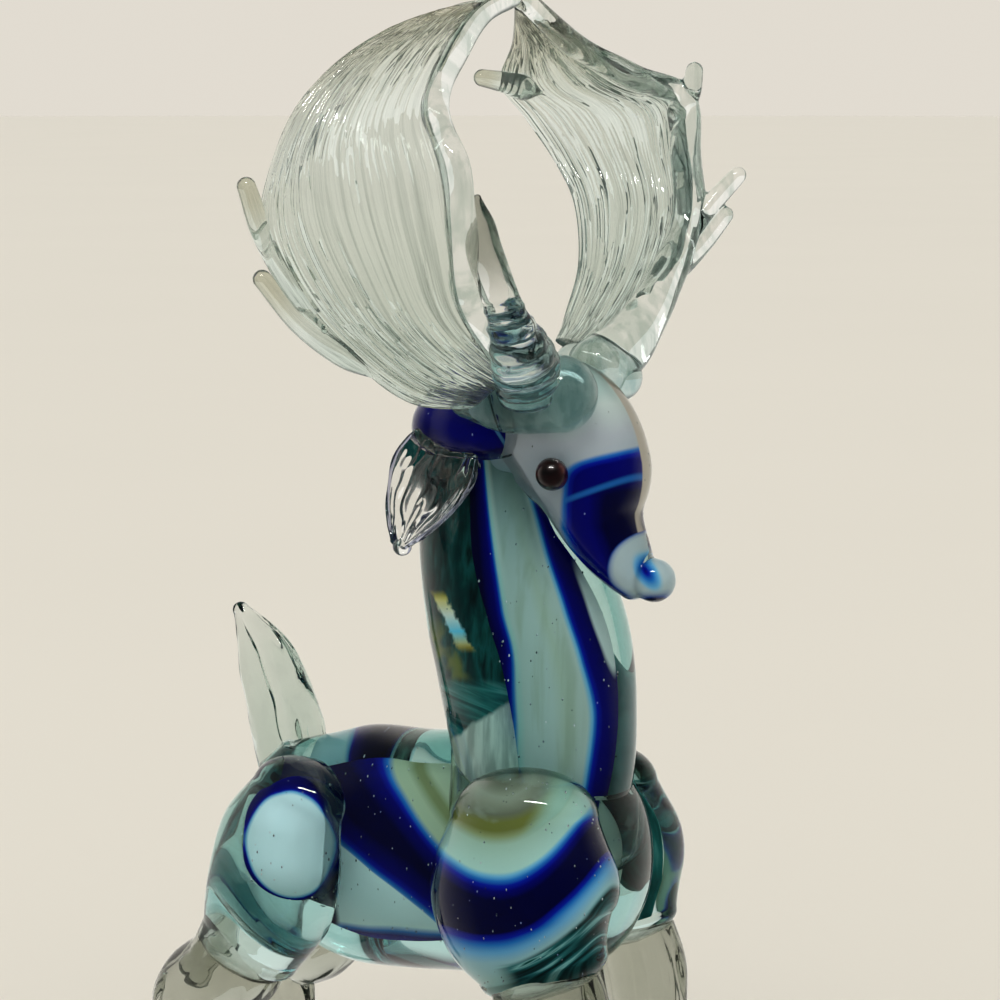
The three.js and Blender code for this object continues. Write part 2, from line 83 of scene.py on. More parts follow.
TORSO_LENGTH = 73
TORSO_HEIGHT = 41
TORSO_WIDTH = 32
TORSO_CASING = 9  # how thick the clear glass lies over the core
RUMP_X = -42
AXIS_HEIGHT = 50.3
CHEST_RISE = 3.2
NECK_RISE = 60
NECK_LEAN = 9.5
NECK_DEPTH = 32.5
NECK_WIDTH = 29
NECK_SHARE = 0.765
NECK_CASING = 9.1
CROWN_DEPTH = 26
CROWN_WIDTH = 25
CROWN_HEIGHT = 15.5
CROWN_CASING = 2.6
HEAD_REACH = 25.8
HEAD_DROP = 25.3
HEAD_DEPTH = 24.6
HEAD_WIDTH = 21
HEAD_CORE_SHARE = 0.72  # of the head's half sizes
HEAD_CORE_BACK = 1.3
NOSE_RADIUS = 3.5
EYE_RADIUS = 2.6
EYE_OUT = 9.6
EAR_LENGTH = 17
EAR_WIDTH = 14.5
EAR_CUP = 3.2
EAR_BEAD_RADIUS = 1.5
SHOULDER_SHARE = 0.8274
SHOULDER_OUT = TORSO_WIDTH / 2 - 0.5
SHOULDER = (31, 24, 34)  # deep, wide and high
LEFT_SHARE = 0.8  # of the right shoulder and foreleg
LEFT_BACK = 0.8  # how far the left shoulder lies behind the right one
HAUNCH_SHARE = 0.2055
HAUNCH_OUT = TORSO_WIDTH / 2 - 3.5
HAUNCH = (25, 20, 38)
HAUNCH_CORE_WIDTH = 13.6
HAUNCH_CORE_HEIGHT = 17.6
HAUNCH_CORE_PLACE = (1.4, 1, 3)  # ahead, out and up from the haunch's middle
FORELEG_RADIUS = 9.2
FOREFOOT_AHEAD = 8.5
THIGH_RADIUS = 8.2
HOCK_BACK = 21
HOCK_HEIGHT = 23
HOCK_RADIUS = 6
ANKLE_RADIUS = 4.2
FOOT_LENGTH = 15
FOOT_WIDTH = 10
FOOT_HEIGHT = 3.2
TAIL_HEIGHT = 25
TAIL_SWEEP = 10.5
TAIL_DEPTH = 14
TAIL_WIDTH = 9
ROOT_RADIUS = 3.4
BEAM_RADIUS = 2.5
BEAM_FOOT = 2.3  # how much thicker the left beam starts
TINE_RADIUS = 1.8
PALM_THICKNESS = 2.6
PALM_BULGE = 8
BROW_RADIUS = 6
BROW_THICKNESS = 4.2


def at(x, y, z):
    """A place or a way."""
    return np.array((x, y, z), float)


def torso_axis(share):
    """A place on the torso's axis, at a share of its length from the rump."""
    s = min(max((share - 0.3) / 0.55, 0), 1)
    rise = s * s * (3 - 2 * s) * CHEST_RISE
    return at(RUMP_X + share * TORSO_LENGTH, 0, AXIS_HEIGHT + rise)


NECK_FOOT = torso_axis(NECK_SHARE) + (0, 0, 2)
NAPE = NECK_FOOT + (-NECK_LEAN, 0, NECK_RISE)
CROWN = NAPE + (-1, 0, 6.8)
POLL = NAPE + (0, 0, 8.3)


def head_axis(reach, drop):
    """A place by its shares of the way ahead of the poll and below it."""
    return POLL + (reach * HEAD_REACH, 0, -drop * HEAD_DROP)


def eye_place(side):
    return head_axis(0.62, 0.29) + (0, side * EYE_OUT, 0)


def middle_of(node):
    low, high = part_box(node)
    return np.array((low + high) / 2) / MM


MIDDLE = middle_of("right_eye") - eye_place(-1)

# The way the photograph looks at the deer
AZIMUTH = math.radians(30)
ELEVATION = math.radians(8)
TOWARDS = at(
    math.sin(AZIMUTH) * math.cos(ELEVATION),
    -math.cos(AZIMUTH) * math.cos(ELEVATION),
    math.sin(ELEVATION),
)
RIGHTWARDS = at(math.cos(AZIMUTH), math.sin(AZIMUTH), 0)
UPWARDS = np.cross(TOWARDS, RIGHTWARDS)
AIM = at(5.5, 0, 110)


# Gathers


def curve(points, shares):
    """The smooth open curve through a row of points or numbers, at shares from 0 to 1."""
    p = np.asarray(points, float).reshape(len(points), -1)
    ends = np.vstack([2 * p[:1] - p[1:2], p, 2 * p[-1:] - p[-2:-1]])
    s = np.clip(shares, 0, 1) * (len(p) - 1)
    k = np.minimum(s.astype(int), len(p) - 2)
    w = (s - k)[:, None]
    a, b, c, d = ends[k], ends[k + 1], ends[k + 2], ends[k + 3]
    into, out = (c - a) / 2, (d - b) / 2
    return (
        (2 * w**3 - 3 * w**2 + 1) * b
        + (w**3 - 2 * w**2 + w) * into
        + (3 * w**2 - 2 * w**3) * c
        + (w**3 - w**2) * out
    )


def unit(v):
    """The same way, 1 long."""
    return v / np.linalg.norm(v, axis=-1, keepdims=True)


def waver(p, length, seed):
    """A smooth number from -1 to 1 at each place, which changes over about that length."""
    rng = np.random.default_rng(seed)
    ways = unit(rng.normal(size=(5, 3)))
    turns = rng.uniform(0, 2 * np.pi, 5)
    rates = 2 * np.pi / length * rng.uniform(0.6, 1.3, 5)
    return np.sin((p @ ways.T) * rates + turns).sum(axis=-1) / 3.2


def gather(stations, caps=(1, 1), **how):
    """The closed surface of an oval that is carried along a smooth spine.

    A station is its place and its half sizes across, the way along Y, and deep. Grow makes it
    larger all round, slim scales its half sizes, shift moves it, and turned turns it on its spine.
    """
    grow, slim = how.get("grow", 0), how.get("slim", 1)
    shift = np.array(how.get("shift", (0, 0, 0)), float)
    sides, steps, domes = how.get("sides", 72), how.get("steps", 12), how.get("domes", 14)
    cup, pinch, relief = how.get("cup", 0), how.get("pinch", 0), how.get("relief")
    turned = math.radians(how.get("turned", 0))
    places = np.array([s[0] for s in stations], float) + shift
    across = np.array([s[1] for s in stations], float)
    deep = np.array([s[2] for s in stations], float)

    def reach(k):
        size = (across[k] + deep[k]) / 2
        return max(size * slim * caps[k] + grow, 0.3)

    dome = (np.pi / 2) * np.arange(1, domes + 1) / (domes + 1)
    count = (len(stations) - 1) * steps
    share = np.concatenate([np.zeros(domes), np.linspace(0, 1, count + 1), np.ones(domes)])
    size = np.concatenate([np.sin(dome), np.ones(count + 1), np.sin(dome[::-1])])
    ahead = np.concatenate(
        [-np.cos(dome) * reach(0), np.zeros(count + 1), np.cos(dome[::-1]) * reach(-1)]
    )
    along = unit(curve(places, share + 1e-4) - curve(places, share - 1e-4))
    side = unit(at(0, 1, 0) - along * along[:, 1:2])
    over = np.cross(along, side)
    centre = curve(places, share) + along * ahead[:, None]
    wide = (curve(across, share)[:, 0] * slim + grow) * size
    high = (curve(deep, share)[:, 0] * slim + grow) * size
    turn = 2 * np.pi * np.arange(sides) / sides
    far = np.sin(turn)
    waist = 1 - pinch * np.exp(-9 * far**2)
    out = wide[:, None] * (np.cos(turn) * waist) + cup * far**2 * size[:, None]
    up = high[:, None] * far
    out, up = out * math.cos(turned) - up * math.sin(turned), out * math.sin(turned) + up * math.cos(turned)
    rings = centre[:, None] + side[:, None] * out[..., None] + over[:, None] * up[..., None]
    if relief is not None:
        from_centre = unit(rings - centre[:, None])
        height = relief(rings, turn[None], share[:, None]) * np.minimum(1, size * 1.4)[:, None]
        rings = rings + from_centre * height[..., None]
    poles = (
        curve(places, np.zeros(1)) - along[:1] * reach(0),
        curve(places, np.ones(1)) + along[-1:] * reach(-1),
    )
    return skin(rings, poles, np.broadcast_to(turn / (2 * np.pi), rings.shape[:2]), share)


def skin(rings, poles, around, along):
    """A closed mesh over rows of rings, with each point's share around and along kept on it."""
    rows, n = rings.shape[:2]
    points = np.vstack([poles[0], rings.reshape(-1, 3), poles[1]])
    k = np.arange(n)
    j = (k + 1) % n
    faces = [(0, 1 + b, 1 + a) for a, b in zip(k, j)]
    last = 1 + (rows - 1) * n
    faces += [(last + n, last + a, last + b) for a, b in zip(k, j)]
    for row in range(rows - 1):
        low, high = 1 + row * n, 1 + (row + 1) * n
        faces += list(zip(low + k, low + j, high + j, high + k))
    mesh = bpy.data.meshes.new("gather")
    mesh.from_pydata(((points + MIDDLE) * MM).tolist(), [], [tuple(map(int, f)) for f in faces])
    for name, rest in (("around", around), ("along", np.repeat(along[:, None], n, axis=1))):
        numbers = mesh.attributes.new(name, "FLOAT", "POINT")
        ends = [rest.reshape(-1)[0]], [rest.reshape(-1)[-1]]
        numbers.data.foreach_set("value", np.concatenate([ends[0], rest.reshape(-1), ends[1]]))
    if volume(mesh) < 0:
        mesh.flip_normals()
    return mesh


def volume(mesh):
    """Six times the volume, below zero where the faces point inwards."""
    p = np.empty(len(mesh.vertices) * 3)
    mesh.vertices.foreach_get("co", p)
    p = p.reshape(-1, 3)
    mesh.calc_loop_triangles()
    t = np.empty(len(mesh.loop_triangles) * 3, int)
    mesh.loop_triangles.foreach_get("vertices", t)
    a, b, c = (p[t.reshape(-1, 3)[:, i]] for i in range(3))
    return float(np.einsum("ij,ij->i", a, np.cross(b, c)).sum())


def ball(centre, radius, rings=32):
    """A bead: a round mesh of fine quads."""
    radius = float(radius)
    stations = [(centre + at(0, 0, z), radius, radius) for z in (-0.001, 0.001)]
    return gather(stations, sides=rings * 2, steps=1, domes=rings // 2)


# Meshes and objects


def place(name, mesh, *materials):
    """A mesh as an object of its own, at the origin."""
    piece = bpy.data.objects.new(name, mesh)
    bpy.context.scene.collection.objects.link(piece)
    mesh.materials.clear()
    for material in materials:
        mesh.materials.append(material)
    return piece


def finished(piece):
    """The piece with its modifiers made plain mesh."""
    seen = piece.evaluated_get(bpy.context.evaluated_depsgraph_get())
    mesh = bpy.data.meshes.new_from_object(seen)
    piece.modifiers.clear()
    old, piece.data = piece.data, mesh
    bpy.data.meshes.remove(old)
    return piece


def bare(piece):
    """The piece's mesh alone, without its object."""
    mesh = piece.data
    bpy.data.objects.remove(piece)
    return mesh


def joined(piece, others, operation):
    """The piece after a boolean with each of the other meshes in turn."""
    tools = [place("tool", mesh) for mesh in others]
    for tool in tools:
        cut = piece.modifiers.new("cut", "BOOLEAN")
        cut.operation = operation
        cut.solver = "MANIFOLD"
        cut.object = tool
    finished(piece)
    for tool in tools:
        bpy.data.meshes.remove(bare(tool))
    return piece


def smoothed(piece, degrees=50):
    """The piece with smooth shading, but for edges sharper than that."""
    piece.data.shade_smooth()
    piece.data.set_sharp_from_angle(angle=math.radians(degrees))
    return piece


def melted(piece, voxel, passes):
    """The piece remeshed finely and softened, so that its joins are round as after a flame."""
    remesh = piece.modifiers.new("melt", "REMESH")
    remesh.mode = "VOXEL"
    remesh.voxel_size = voxel * MM
    soft = piece.modifiers.new("soften", "SMOOTH")
    soft.factor = 0.5
    soft.iterations = passes
    return finished(piece)


def settle(piece, slot, *nodes):
    """The finished piece rides on the deer and stands for its CAD nodes."""
    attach(piece, "root")
    if nodes:
        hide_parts(*nodes)
    return piece


# The forms of the deer


def fire_polish(amount, length, seed):
    """The slight waver that a flame leaves on a gather."""
    return lambda rings, turn, share: amount * waver(rings, length, seed)


def torso_form(**how):
    """The body's gather, from rump to chest."""
    shape = ((0.14, 0.82, 0.8), (0.3, 0.97, 0.95), (0.5, 0.97, 1), (0.68, 0.97, 1), (0.82, 0.9, 0.96))
    stations = [
        (torso_axis(share), wide * TORSO_WIDTH / 2, high * TORSO_HEIGHT / 2)
        for share, high, wide in shape
    ]
    return gather(stations, (0.75, 0.8), **how)


# The neck's height, lean and size at each station, as shares
NECK_SHAPE = (
    (0, 0.12, 0.8), (0.2, 0.02, 0.92), (0.37, 0.1, 0.98), (0.52, 0.25, 1), (0.64, 0.47, 0.98),
    (0.79, 0.76, 0.9), (1, 1, 0.78),
)


def neck_stations():
    return [
        (
            NECK_FOOT + (-lean * NECK_LEAN, 0, share * NECK_RISE),
            size * NECK_WIDTH / 2,
            size * NECK_DEPTH / 2,
        )
        for share, lean, size in NECK_SHAPE
    ]


def neck_form(**how):
    return gather(neck_stations(), (0.4, 0.6), **how)


def crown_form(**how):
    stations = [
        (CROWN + (s * CROWN_DEPTH * 0.16, 0, 0), CROWN_WIDTH / 2 * wide, CROWN_HEIGHT / 2 * high)
        for s, wide, high in ((-1, 0.92, 0.92), (0, 1, 1), (1, 1, 0.92))
    ]
    return gather(stations, (0.8, 0.8), **how)


def head_form(**how):
    shape = (
        (0.2, 0.07, 0.86, 0.86), (0.46, 0.1, 1, 1), (0.665, 0.34, 0.88, 0.92),
        (0.77, 0.64, 0.55, 0.7), (0.93, 0.88, 0.38, 0.46), (1.02, 1, 0.26, 0.3),
    )
    stations = [
        (head_axis(reach, drop), wide * HEAD_WIDTH / 2, deep * HEAD_DEPTH / 2)
        for reach, drop, deep, wide in shape
    ]
    return gather(stations, (0.6, 0.6), **how)


def limb_stations(centre, side, sizes, shape):
    """Stations of a limb's gather, from shares of its depth, width and height."""
    deep, wide, high = sizes
    return [
        (centre + (x * deep, side * out * wide, up * high / 2), size * wide / 2, size * deep / 2)
        for x, out, up, size in shape
    ]


def left_share(side):
    return LEFT_SHARE if side > 0 else 1


def shoulder_centre(side):
    back = LEFT_BACK if side > 0 else 0
    x = torso_axis(SHOULDER_SHARE)[0] - back
    return at(x, side * SHOULDER_OUT, AXIS_HEIGHT + CHEST_RISE / 2)


def shoulder_form(side, **how):
    share = left_share(side)
    sizes = (SHOULDER[0] * share, SHOULDER[1] * share, SHOULDER[2])
    shape = ((-0.03, -0.1, 0.6, 0.8), (0, -0.02, 0.12, 1), (0.04, 0, -0.32, 0.95), (0.12, 0, -0.72, 0.72))
    stations = limb_stations(shoulder_centre(side), side, sizes, shape)
    return gather(stations, (0.74, 0.5), **how)


def haunch_centre(side):
    return at(torso_axis(HAUNCH_SHARE)[0], side * HAUNCH_OUT, AXIS_HEIGHT)


def haunch_core_centre(side):
    ahead, out, up = HAUNCH_CORE_PLACE
    return haunch_centre(side) + (ahead, side * out, up)


def haunch_form(side, **how):
    shape = ((0.1, -0.08, 0.5, 0.8), (0, 0, 0.1, 1), (-0.14, 0.05, -0.4, 0.92), (-0.3, 0.05, -0.85, 0.72))
    stations = limb_stations(haunch_centre(side), side, HAUNCH, shape)
    return gather(stations, (0.7, 0.5), **how)


def foot_stations(x, y):
    """A foot that spreads where it was pressed flat."""
    return [
        (at(x + FOOT_LENGTH * 0.08, y, FOOT_HEIGHT), FOOT_WIDTH * 0.46, FOOT_LENGTH * 0.44),
        (at(x + FOOT_LENGTH * 0.12, y, 0.2), FOOT_WIDTH / 2, FOOT_LENGTH / 2),
    ]


def foreleg_form(side, **how):
    hip = shoulder_centre(side)
    top = hip[2] - SHOULDER[2] * 0.36
    foot = hip[0] + FOREFOOT_AHEAD
    y = hip[1] + side * 0.5
    thick = FORELEG_RADIUS * left_share(side)
    stations = [
        (at(hip[0] + 3.5, hip[1], top), thick * 0.86, thick * 0.95),
        (at(hip[0] + 6, y, top * 0.78), thick * 0.86, thick),
        (at(foot - 1, y, top * 0.5), ANKLE_RADIUS * 1.35, ANKLE_RADIUS * 1.4),
        (at(foot - 0.5, y, top * 0.26), ANKLE_RADIUS, ANKLE_RADIUS),
        *foot_stations(foot, y),
    ]
    return gather(stations, (0.4, 0.3), **how)


def hindleg_form(side, **how):
    hip = haunch_centre(side)
    top = hip[2] - HAUNCH[2] * 0.4
    hock = hip[0] - HOCK_BACK
    y = hip[1] + side * 1.5
    stations = [
        (at(hip[0] - HOCK_BACK / 3, y, top + 2), THIGH_RADIUS * 0.86, THIGH_RADIUS),
        (at(hock + HOCK_BACK * 0.452, y, HOCK_HEIGHT * 1.283), THIGH_RADIUS * 0.86, THIGH_RADIUS),
        (at(hock + 1, y, HOCK_HEIGHT), HOCK_RADIUS * 0.85, HOCK_RADIUS * 1.15),
        (at(hock + 2, y, HOCK_HEIGHT * 0.58), ANKLE_RADIUS * 1.1, ANKLE_RADIUS * 1.25),
        (at(hock + 3.5, y, HOCK_HEIGHT * 0.34), ANKLE_RADIUS, ANKLE_RADIUS),
        *foot_stations(hock + 4, y),
    ]
    return gather(stations, (0.4, 0.3), **how)


def tail_form(**how):
    foot = torso_axis(0.1) + (0, 0, TORSO_HEIGHT * 0.3)
    shape = ((0, 0, 0.95, 1), (0.35, 0.2, 1, 0.85), (0.7, 0.55, 0.8, 0.6), (1, 1, 0.22, 0.3))
    stations = [
        (
            foot + (-back * TAIL_SWEEP, 0, up * TAIL_HEIGHT),
            thick * TAIL_WIDTH / 2,
            wide * TAIL_DEPTH / 2,
        )
        for up, back, wide, thick in shape
    ]
    return gather(stations, (0.3, 1), pinch=0.3, **how)


# Each antler's places, counted from the poll: front and rear are the palm's long edges,
# swell is how much its root widens and foot how much thicker its beam starts
ANTLERS = {
    "right": {
        "root": [(2, -11, 4), (9, -11, 3.5), (16.5, -8.5, 5)],
        "swell": 1.8,
        "foot": 0,
        "front": [
            (13.9, -8, 4.2), (9.2, -14, 12.2), (8.4, -21, 19.6), (10.2, -27, 30.4), (9.2, -28, 40),
            (4.3, -25, 48.8), (4, -19, 56.9), (5.3, -13, 63), (7.7, -8, 65.8),
        ],
        "rear": [
            (7, -10, 3.2), (-2.4, -20, 3.6), (-9.3, -29, 11.8), (-13.7, -36, 19.7),
            (-16.8, -40, 29.5), (-14.2, -41, 40), (-10.9, -37, 50.3), (-4.5, -29, 58.7),
            (3.2, -17, 63.7),
        ],
        "front_tines": [],
        "rib_seed": 9.0,
        "rear_tines": [
            [(-8.7, -30, 11.6), (-12.8, -36, 16.7), (-16.2, -41, 23.5)],
            [(-11.4, -38, 21.4), (-14.9, -42, 29.7), (-16.1, -45, 37.4)],
        ],
    },
    "left": {
        "root": [(9.8, 9, 7.9), (13.5, 10, 7.4), (16.6, 11, 6)],
        "swell": 1.15,
        "foot": BEAM_FOOT,
        "front": [
            (14.4, 9, 7.5), (17.4, 14, 12), (18.4, 24, 21.2), (18.9, 31, 30.6), (16.9, 34, 41.1),
            (16.5, 33, 50), (10.1, 27, 53.6), (3.3, 19, 59.2), (0, 9, 66),
        ],
        "rear": [
            (6.2, 8, 10.4), (5.3, 14, 15.6), (3.8, 21, 23.2), (-0.4, 27, 32.7), (-5.5, 29, 40),
            (-9.6, 27, 46.7), (-11.5, 22, 52.4), (-5.8, 16, 58.9), (-1.4, 9, 65),
        ],
        "front_tines": [
            [(16, 33, 47.5), (18.1, 33, 51), (18.8, 33, 54.5)],
            [(18.9, 29, 27), (21.8, 33, 32.5), (25.4, 36, 37.5)],
            [(18.6, 26, 22), (21.4, 31, 26.5), (23.6, 35, 31)],
        ],
        "rib_seed": 5.0,
        "rear_tines": [[(-7.3, 23, 51.6), (-10, 20.5, 52.6), (-12.6, 18, 53.3)]],
    },
}
BROW = [
    (13.6, -12, 6.2), (14, -15.5, 11.5), (14, -21, 19), (12.4, -24, 27), (12, -25, 32),
    (12, -25.5, 35.6),
]


def rod(places, first, last, foot=0):
    """Stations of a round rod whose radius runs from first to last, with a thicker foot."""
    order = np.arange(len(places))
    sizes = np.linspace(first, last, len(places)) + foot * np.maximum(0, 1 - order / 2.2)
    return [(POLL + place, size, size) for place, size in zip(places, sizes)]


def root_form(side, **how):
    shape = ANTLERS[side]
    stations = rod(shape["root"], ROOT_RADIUS, ROOT_RADIUS * shape["swell"])
    return gather(stations, **how)


def beam_form(side, **how):
    shape = ANTLERS[side]
    stations = rod(shape["front"], BEAM_RADIUS * 1.25, BEAM_RADIUS * 0.75, shape["foot"])
    return gather(stations, **how)


def tine_form(places, **how):
    """A tine, with a hidden root that tapers into the rim it grows from."""
    stations = rod(places, TINE_RADIUS * 1.15, TINE_RADIUS * 0.8)
    root = stations[0][0] * 1.7 - stations[1][0] * 0.7
    return gather([(root, 0.4, 0.4), *stations], **how)


def brow_form(**how):
    foot, blade = BROW_RADIUS, BROW_THICKNESS
    across = (foot * 0.9, foot * 0.85, blade / 2, blade * 0.476, 1.5, 0.5)
    deep = (foot * 0.9, foot * 0.82, foot * 0.55, foot * 0.53, 2.5, 0.6)
    stations = [(POLL + p, a, d) for p, a, d in zip(BROW, across, deep)]
    return gather(stations, (0.5, 1), **how)


def palm_form(side, columns=200, rows=110):
    """The antler's thin bulging sheet between its front and rear edges."""
    shape = ANTLERS[side]
    outward = -1 if side == "right" else 1
    front = [POLL + p for p in shape["front"]]
    rear = [POLL + p for p in shape["rear"]]

    def sheet(u, v):
        bulge = 4 * u * (1 - u) * np.sin(np.pi * np.minimum(1, v * 1.05)) * PALM_BULGE
        flat = curve(rear, v) * (1 - u)[:, None] + curve(front, v) * u[:, None]
        return flat + at(0, outward, 0) * bulge[:, None]

    turn = 2 * np.pi * np.arange(columns) / columns
    rounded = (1 - np.cos(turn)) / 2
    even = np.where(turn <= np.pi, turn / np.pi, 2 - turn / np.pi)
    u = rounded * 0.35 + 0.65 * even
    half = PALM_THICKNESS / 2 * np.sign(np.sin(turn)) * np.abs(np.sin(turn)) ** 0.5
    rings = []
    share = 0.03 + 0.96 * np.linspace(0, 1, rows)
    for v in share:
        down, up = np.full(columns, max(0, v - 0.02)), np.full(columns, min(1, v + 0.02))
        flat = np.full(columns, v)
        along = sheet(u, up) - sheet(u, down)
        aside = sheet(np.minimum(1, u + 0.05), flat) - sheet(np.maximum(0, u - 0.05), flat)
        rings.append(sheet(u, flat) + unit(np.cross(along, aside)) * half[:, None])
    rings = np.array(rings)
    poles = rings[0].mean(axis=0)[None], rings[-1].mean(axis=0)[None]
    return skin(rings, poles, np.broadcast_to(u, rings.shape[:2]), share)


# Ridges and seeds, made with Geometry Nodes


def node_tree(name, sockets):
    """A Geometry Nodes tree with those inputs, and its first and last nodes."""
    tree = bpy.data.node_groups.new(name, "GeometryNodeTree")
    tree.interface.new_socket("Geometry", in_out="INPUT", socket_type="NodeSocketGeometry")
    for label, kind, value in sockets:
        socket = tree.interface.new_socket(label, in_out="INPUT", socket_type="NodeSocket" + kind)
        if value is not None:
            socket.default_value = value
    tree.interface.new_socket("Geometry", in_out="OUTPUT", socket_type="NodeSocketGeometry")
    return tree, tree.nodes.new("NodeGroupInput"), tree.nodes.new("NodeGroupOutput")


def put(tree, kind, *links, **settings):
    """A node of that kind. Each link gives one of its inputs, by name or number, its value."""
    node = tree.nodes.new(kind)
    for key, value in settings.items():
        setattr(node, key, value)
    for key, value in links:
        if isinstance(value, bpy.types.NodeSocket):
            tree.links.new(value, node.inputs[key])
        else:
            node.inputs[key].default_value = value
    return node


def maths(tree, operation, a, b=0.0, c=0.0):
    """One step of arithmetic on numbers or sockets."""
    links = [(0, a), (1, b)] + ([(2, c)] if operation in ("MULTIPLY_ADD", "COMPARE") else [])
    return put(tree, "ShaderNodeMath", *links, operation=operation).outputs[0]


def ridge_tree():
    """Ridges drawn along or around a gather while it was hot, each a little unlike the next."""
    tree, start, end = node_tree(
        "drawn ridges",
        [
            ("Count", "Float", 30.0), ("Height", "Float", 0.0003), ("Wander", "Float", 1.0),
            ("Around", "Bool", True), ("From", "Float", 0.0), ("To", "Float", 1.0),
            ("Seed", "Float", 1.0), ("Glass", "Material", None),
        ],
    )
    given = start.outputs
    across = put(tree, "GeometryNodeInputNamedAttribute", ("Name", "around"), data_type="FLOAT")
    along = put(tree, "GeometryNodeInputNamedAttribute", ("Name", "along"), data_type="FLOAT")
    u, v = across.outputs["Attribute"], along.outputs["Attribute"]
    spread = put(tree, "ShaderNodeCombineXYZ", ("X", maths(tree, "MULTIPLY", u, 7)),
                 ("Y", maths(tree, "MULTIPLY", v, 2.2)), ("Z", given["Seed"]))
    drift = put(tree, "ShaderNodeTexNoise", ("Vector", spread.outputs[0]), ("Scale", 1.0), ("Detail", 1.0))
    pick = put(tree, "GeometryNodeSwitch", ("Switch", given["Around"]), ("False", v), ("True", u),
               input_type="FLOAT")
    phase = maths(tree, "MULTIPLY", pick.outputs[0], given["Count"])
    phase = maths(tree, "ADD", phase, maths(tree, "MULTIPLY", drift.outputs[0], given["Wander"]))
    wave = maths(tree, "SINE", maths(tree, "MULTIPLY", phase, 2 * math.pi))
    finer = maths(tree, "SINE", maths(tree, "MULTIPLY", phase, 4.6 * math.pi))
    wave = maths(tree, "MULTIPLY_ADD", finer, 0.4, wave)
    uneven = put(tree, "ShaderNodeTexNoise", ("Vector", spread.outputs[0]), ("Scale", 1.9), ("Detail", 0.0))
    strength = put(tree, "ShaderNodeMapRange", ("Value", uneven.outputs[0]), ("From Min", 0.3),
                   ("From Max", 0.7), ("To Min", 0.5), ("To Max", 1.1))
    rise = put(tree, "ShaderNodeMapRange", ("Value", v), ("From Min", given["From"]),
               ("From Max", maths(tree, "ADD", given["From"], 0.06)), interpolation_type="SMOOTHSTEP")
    fall = put(tree, "ShaderNodeMapRange", ("Value", v), ("From Min", given["To"]),
               ("From Max", maths(tree, "SUBTRACT", given["To"], 0.12)), interpolation_type="SMOOTHSTEP")
    height = maths(tree, "MULTIPLY", wave, given["Height"])
    for share in (strength.outputs[0], rise.outputs[0], fall.outputs[0]):
        height = maths(tree, "MULTIPLY", height, share)
    normal = put(tree, "GeometryNodeInputNormal")
    push = put(tree, "ShaderNodeVectorMath", (0, normal.outputs[0]), ("Scale", height), operation="SCALE")
    moved = put(tree, "GeometryNodeSetPosition", ("Geometry", given["Geometry"]),
                ("Offset", push.outputs[0]))
    real = put(tree, "GeometryNodeRealizeInstances", ("Geometry", moved.outputs[0]))
    dressed = put(tree, "GeometryNodeSetMaterial", ("Geometry", real.outputs[0]),
                  ("Material", given["Glass"]))
    tree.links.new(dressed.outputs[0], end.inputs[0])
    return tree


def seed_tree():
    """Seeds: tiny bubbles and specks caught in the glass just over a coloured core."""
    tree, start, end = node_tree(
        "seeds",
        [
            ("Per square metre", "Float", 60000.0), ("Smallest", "Float", 0.00005),
            ("Largest", "Float", 0.00013), ("Lift", "Float", 0.0003), ("Seed", "Int", 1),
            ("Glass", "Material", None),
        ],
    )
    given = start.outputs
    spots = put(tree, "GeometryNodeDistributePointsOnFaces", ("Mesh", given["Geometry"]),
                ("Density", given["Per square metre"]), ("Seed", given["Seed"]))
    lift = put(tree, "ShaderNodeVectorMath", (0, spots.outputs["Normal"]), ("Scale", given["Lift"]),
               operation="SCALE")
    raised = put(tree, "GeometryNodeSetPosition", ("Geometry", spots.outputs["Points"]),
                 ("Offset", lift.outputs[0]))
    bead = put(tree, "GeometryNodeMeshIcoSphere", ("Radius", 1.0), ("Subdivisions", 2))
    size = put(tree, "FunctionNodeRandomValue", (2, given["Smallest"]), (3, given["Largest"]),
               ("Seed", given["Seed"]), data_type="FLOAT")
    stretch = put(tree, "ShaderNodeCombineXYZ", ("X", size.outputs[1]), ("Y", size.outputs[1]),
                  ("Z", maths(tree, "MULTIPLY", size.outputs[1], 1.9)))
    beads = put(tree, "GeometryNodeInstanceOnPoints", ("Points", raised.outputs[0]),
                ("Instance", bead.outputs[0]), ("Scale", stretch.outputs[0]))
    real = put(tree, "GeometryNodeRealizeInstances", ("Geometry", beads.outputs[0]))
    dressed = put(tree, "GeometryNodeSetMaterial", ("Geometry", real.outputs[0]),
                  ("Material", given["Glass"]))
    tree.links.new(dressed.outputs[0], end.inputs[0])
    return tree


def grown(piece, tree, **values):
    """The piece after a tree of nodes has run on it, as plain mesh."""
    run = piece.modifiers.new("nodes", "NODES")
    run.node_group = tree
    names = {s.name: s.identifier for s in tree.interface.items_tree if s.in_out == "INPUT"}
    for label, value in values.items():
        run[names[label.replace("_", " ")]] = value
    return finished(piece)


# Materials


def blank(name):
    """A new material, its emptied tree and its output node."""
    material = bpy.data.materials.new(name)
    material.use_nodes = True
    tree = material.node_tree
    tree.nodes.clear()
    return material, tree, tree.nodes.new("ShaderNodeOutputMaterial")


def here(tree):
    """Object coordinates in millimetres of the deer's own frame."""
    where = put(tree, "ShaderNodeTexCoord").outputs["Object"]
    sized = put(tree, "ShaderNodeVectorMath", (0, where), ("Scale", 1000.0), operation="SCALE")
    return put(tree, "ShaderNodeVectorMath", (0, sized.outputs[0]), (1, tuple(MIDDLE)),
               operation="SUBTRACT").outputs[0]


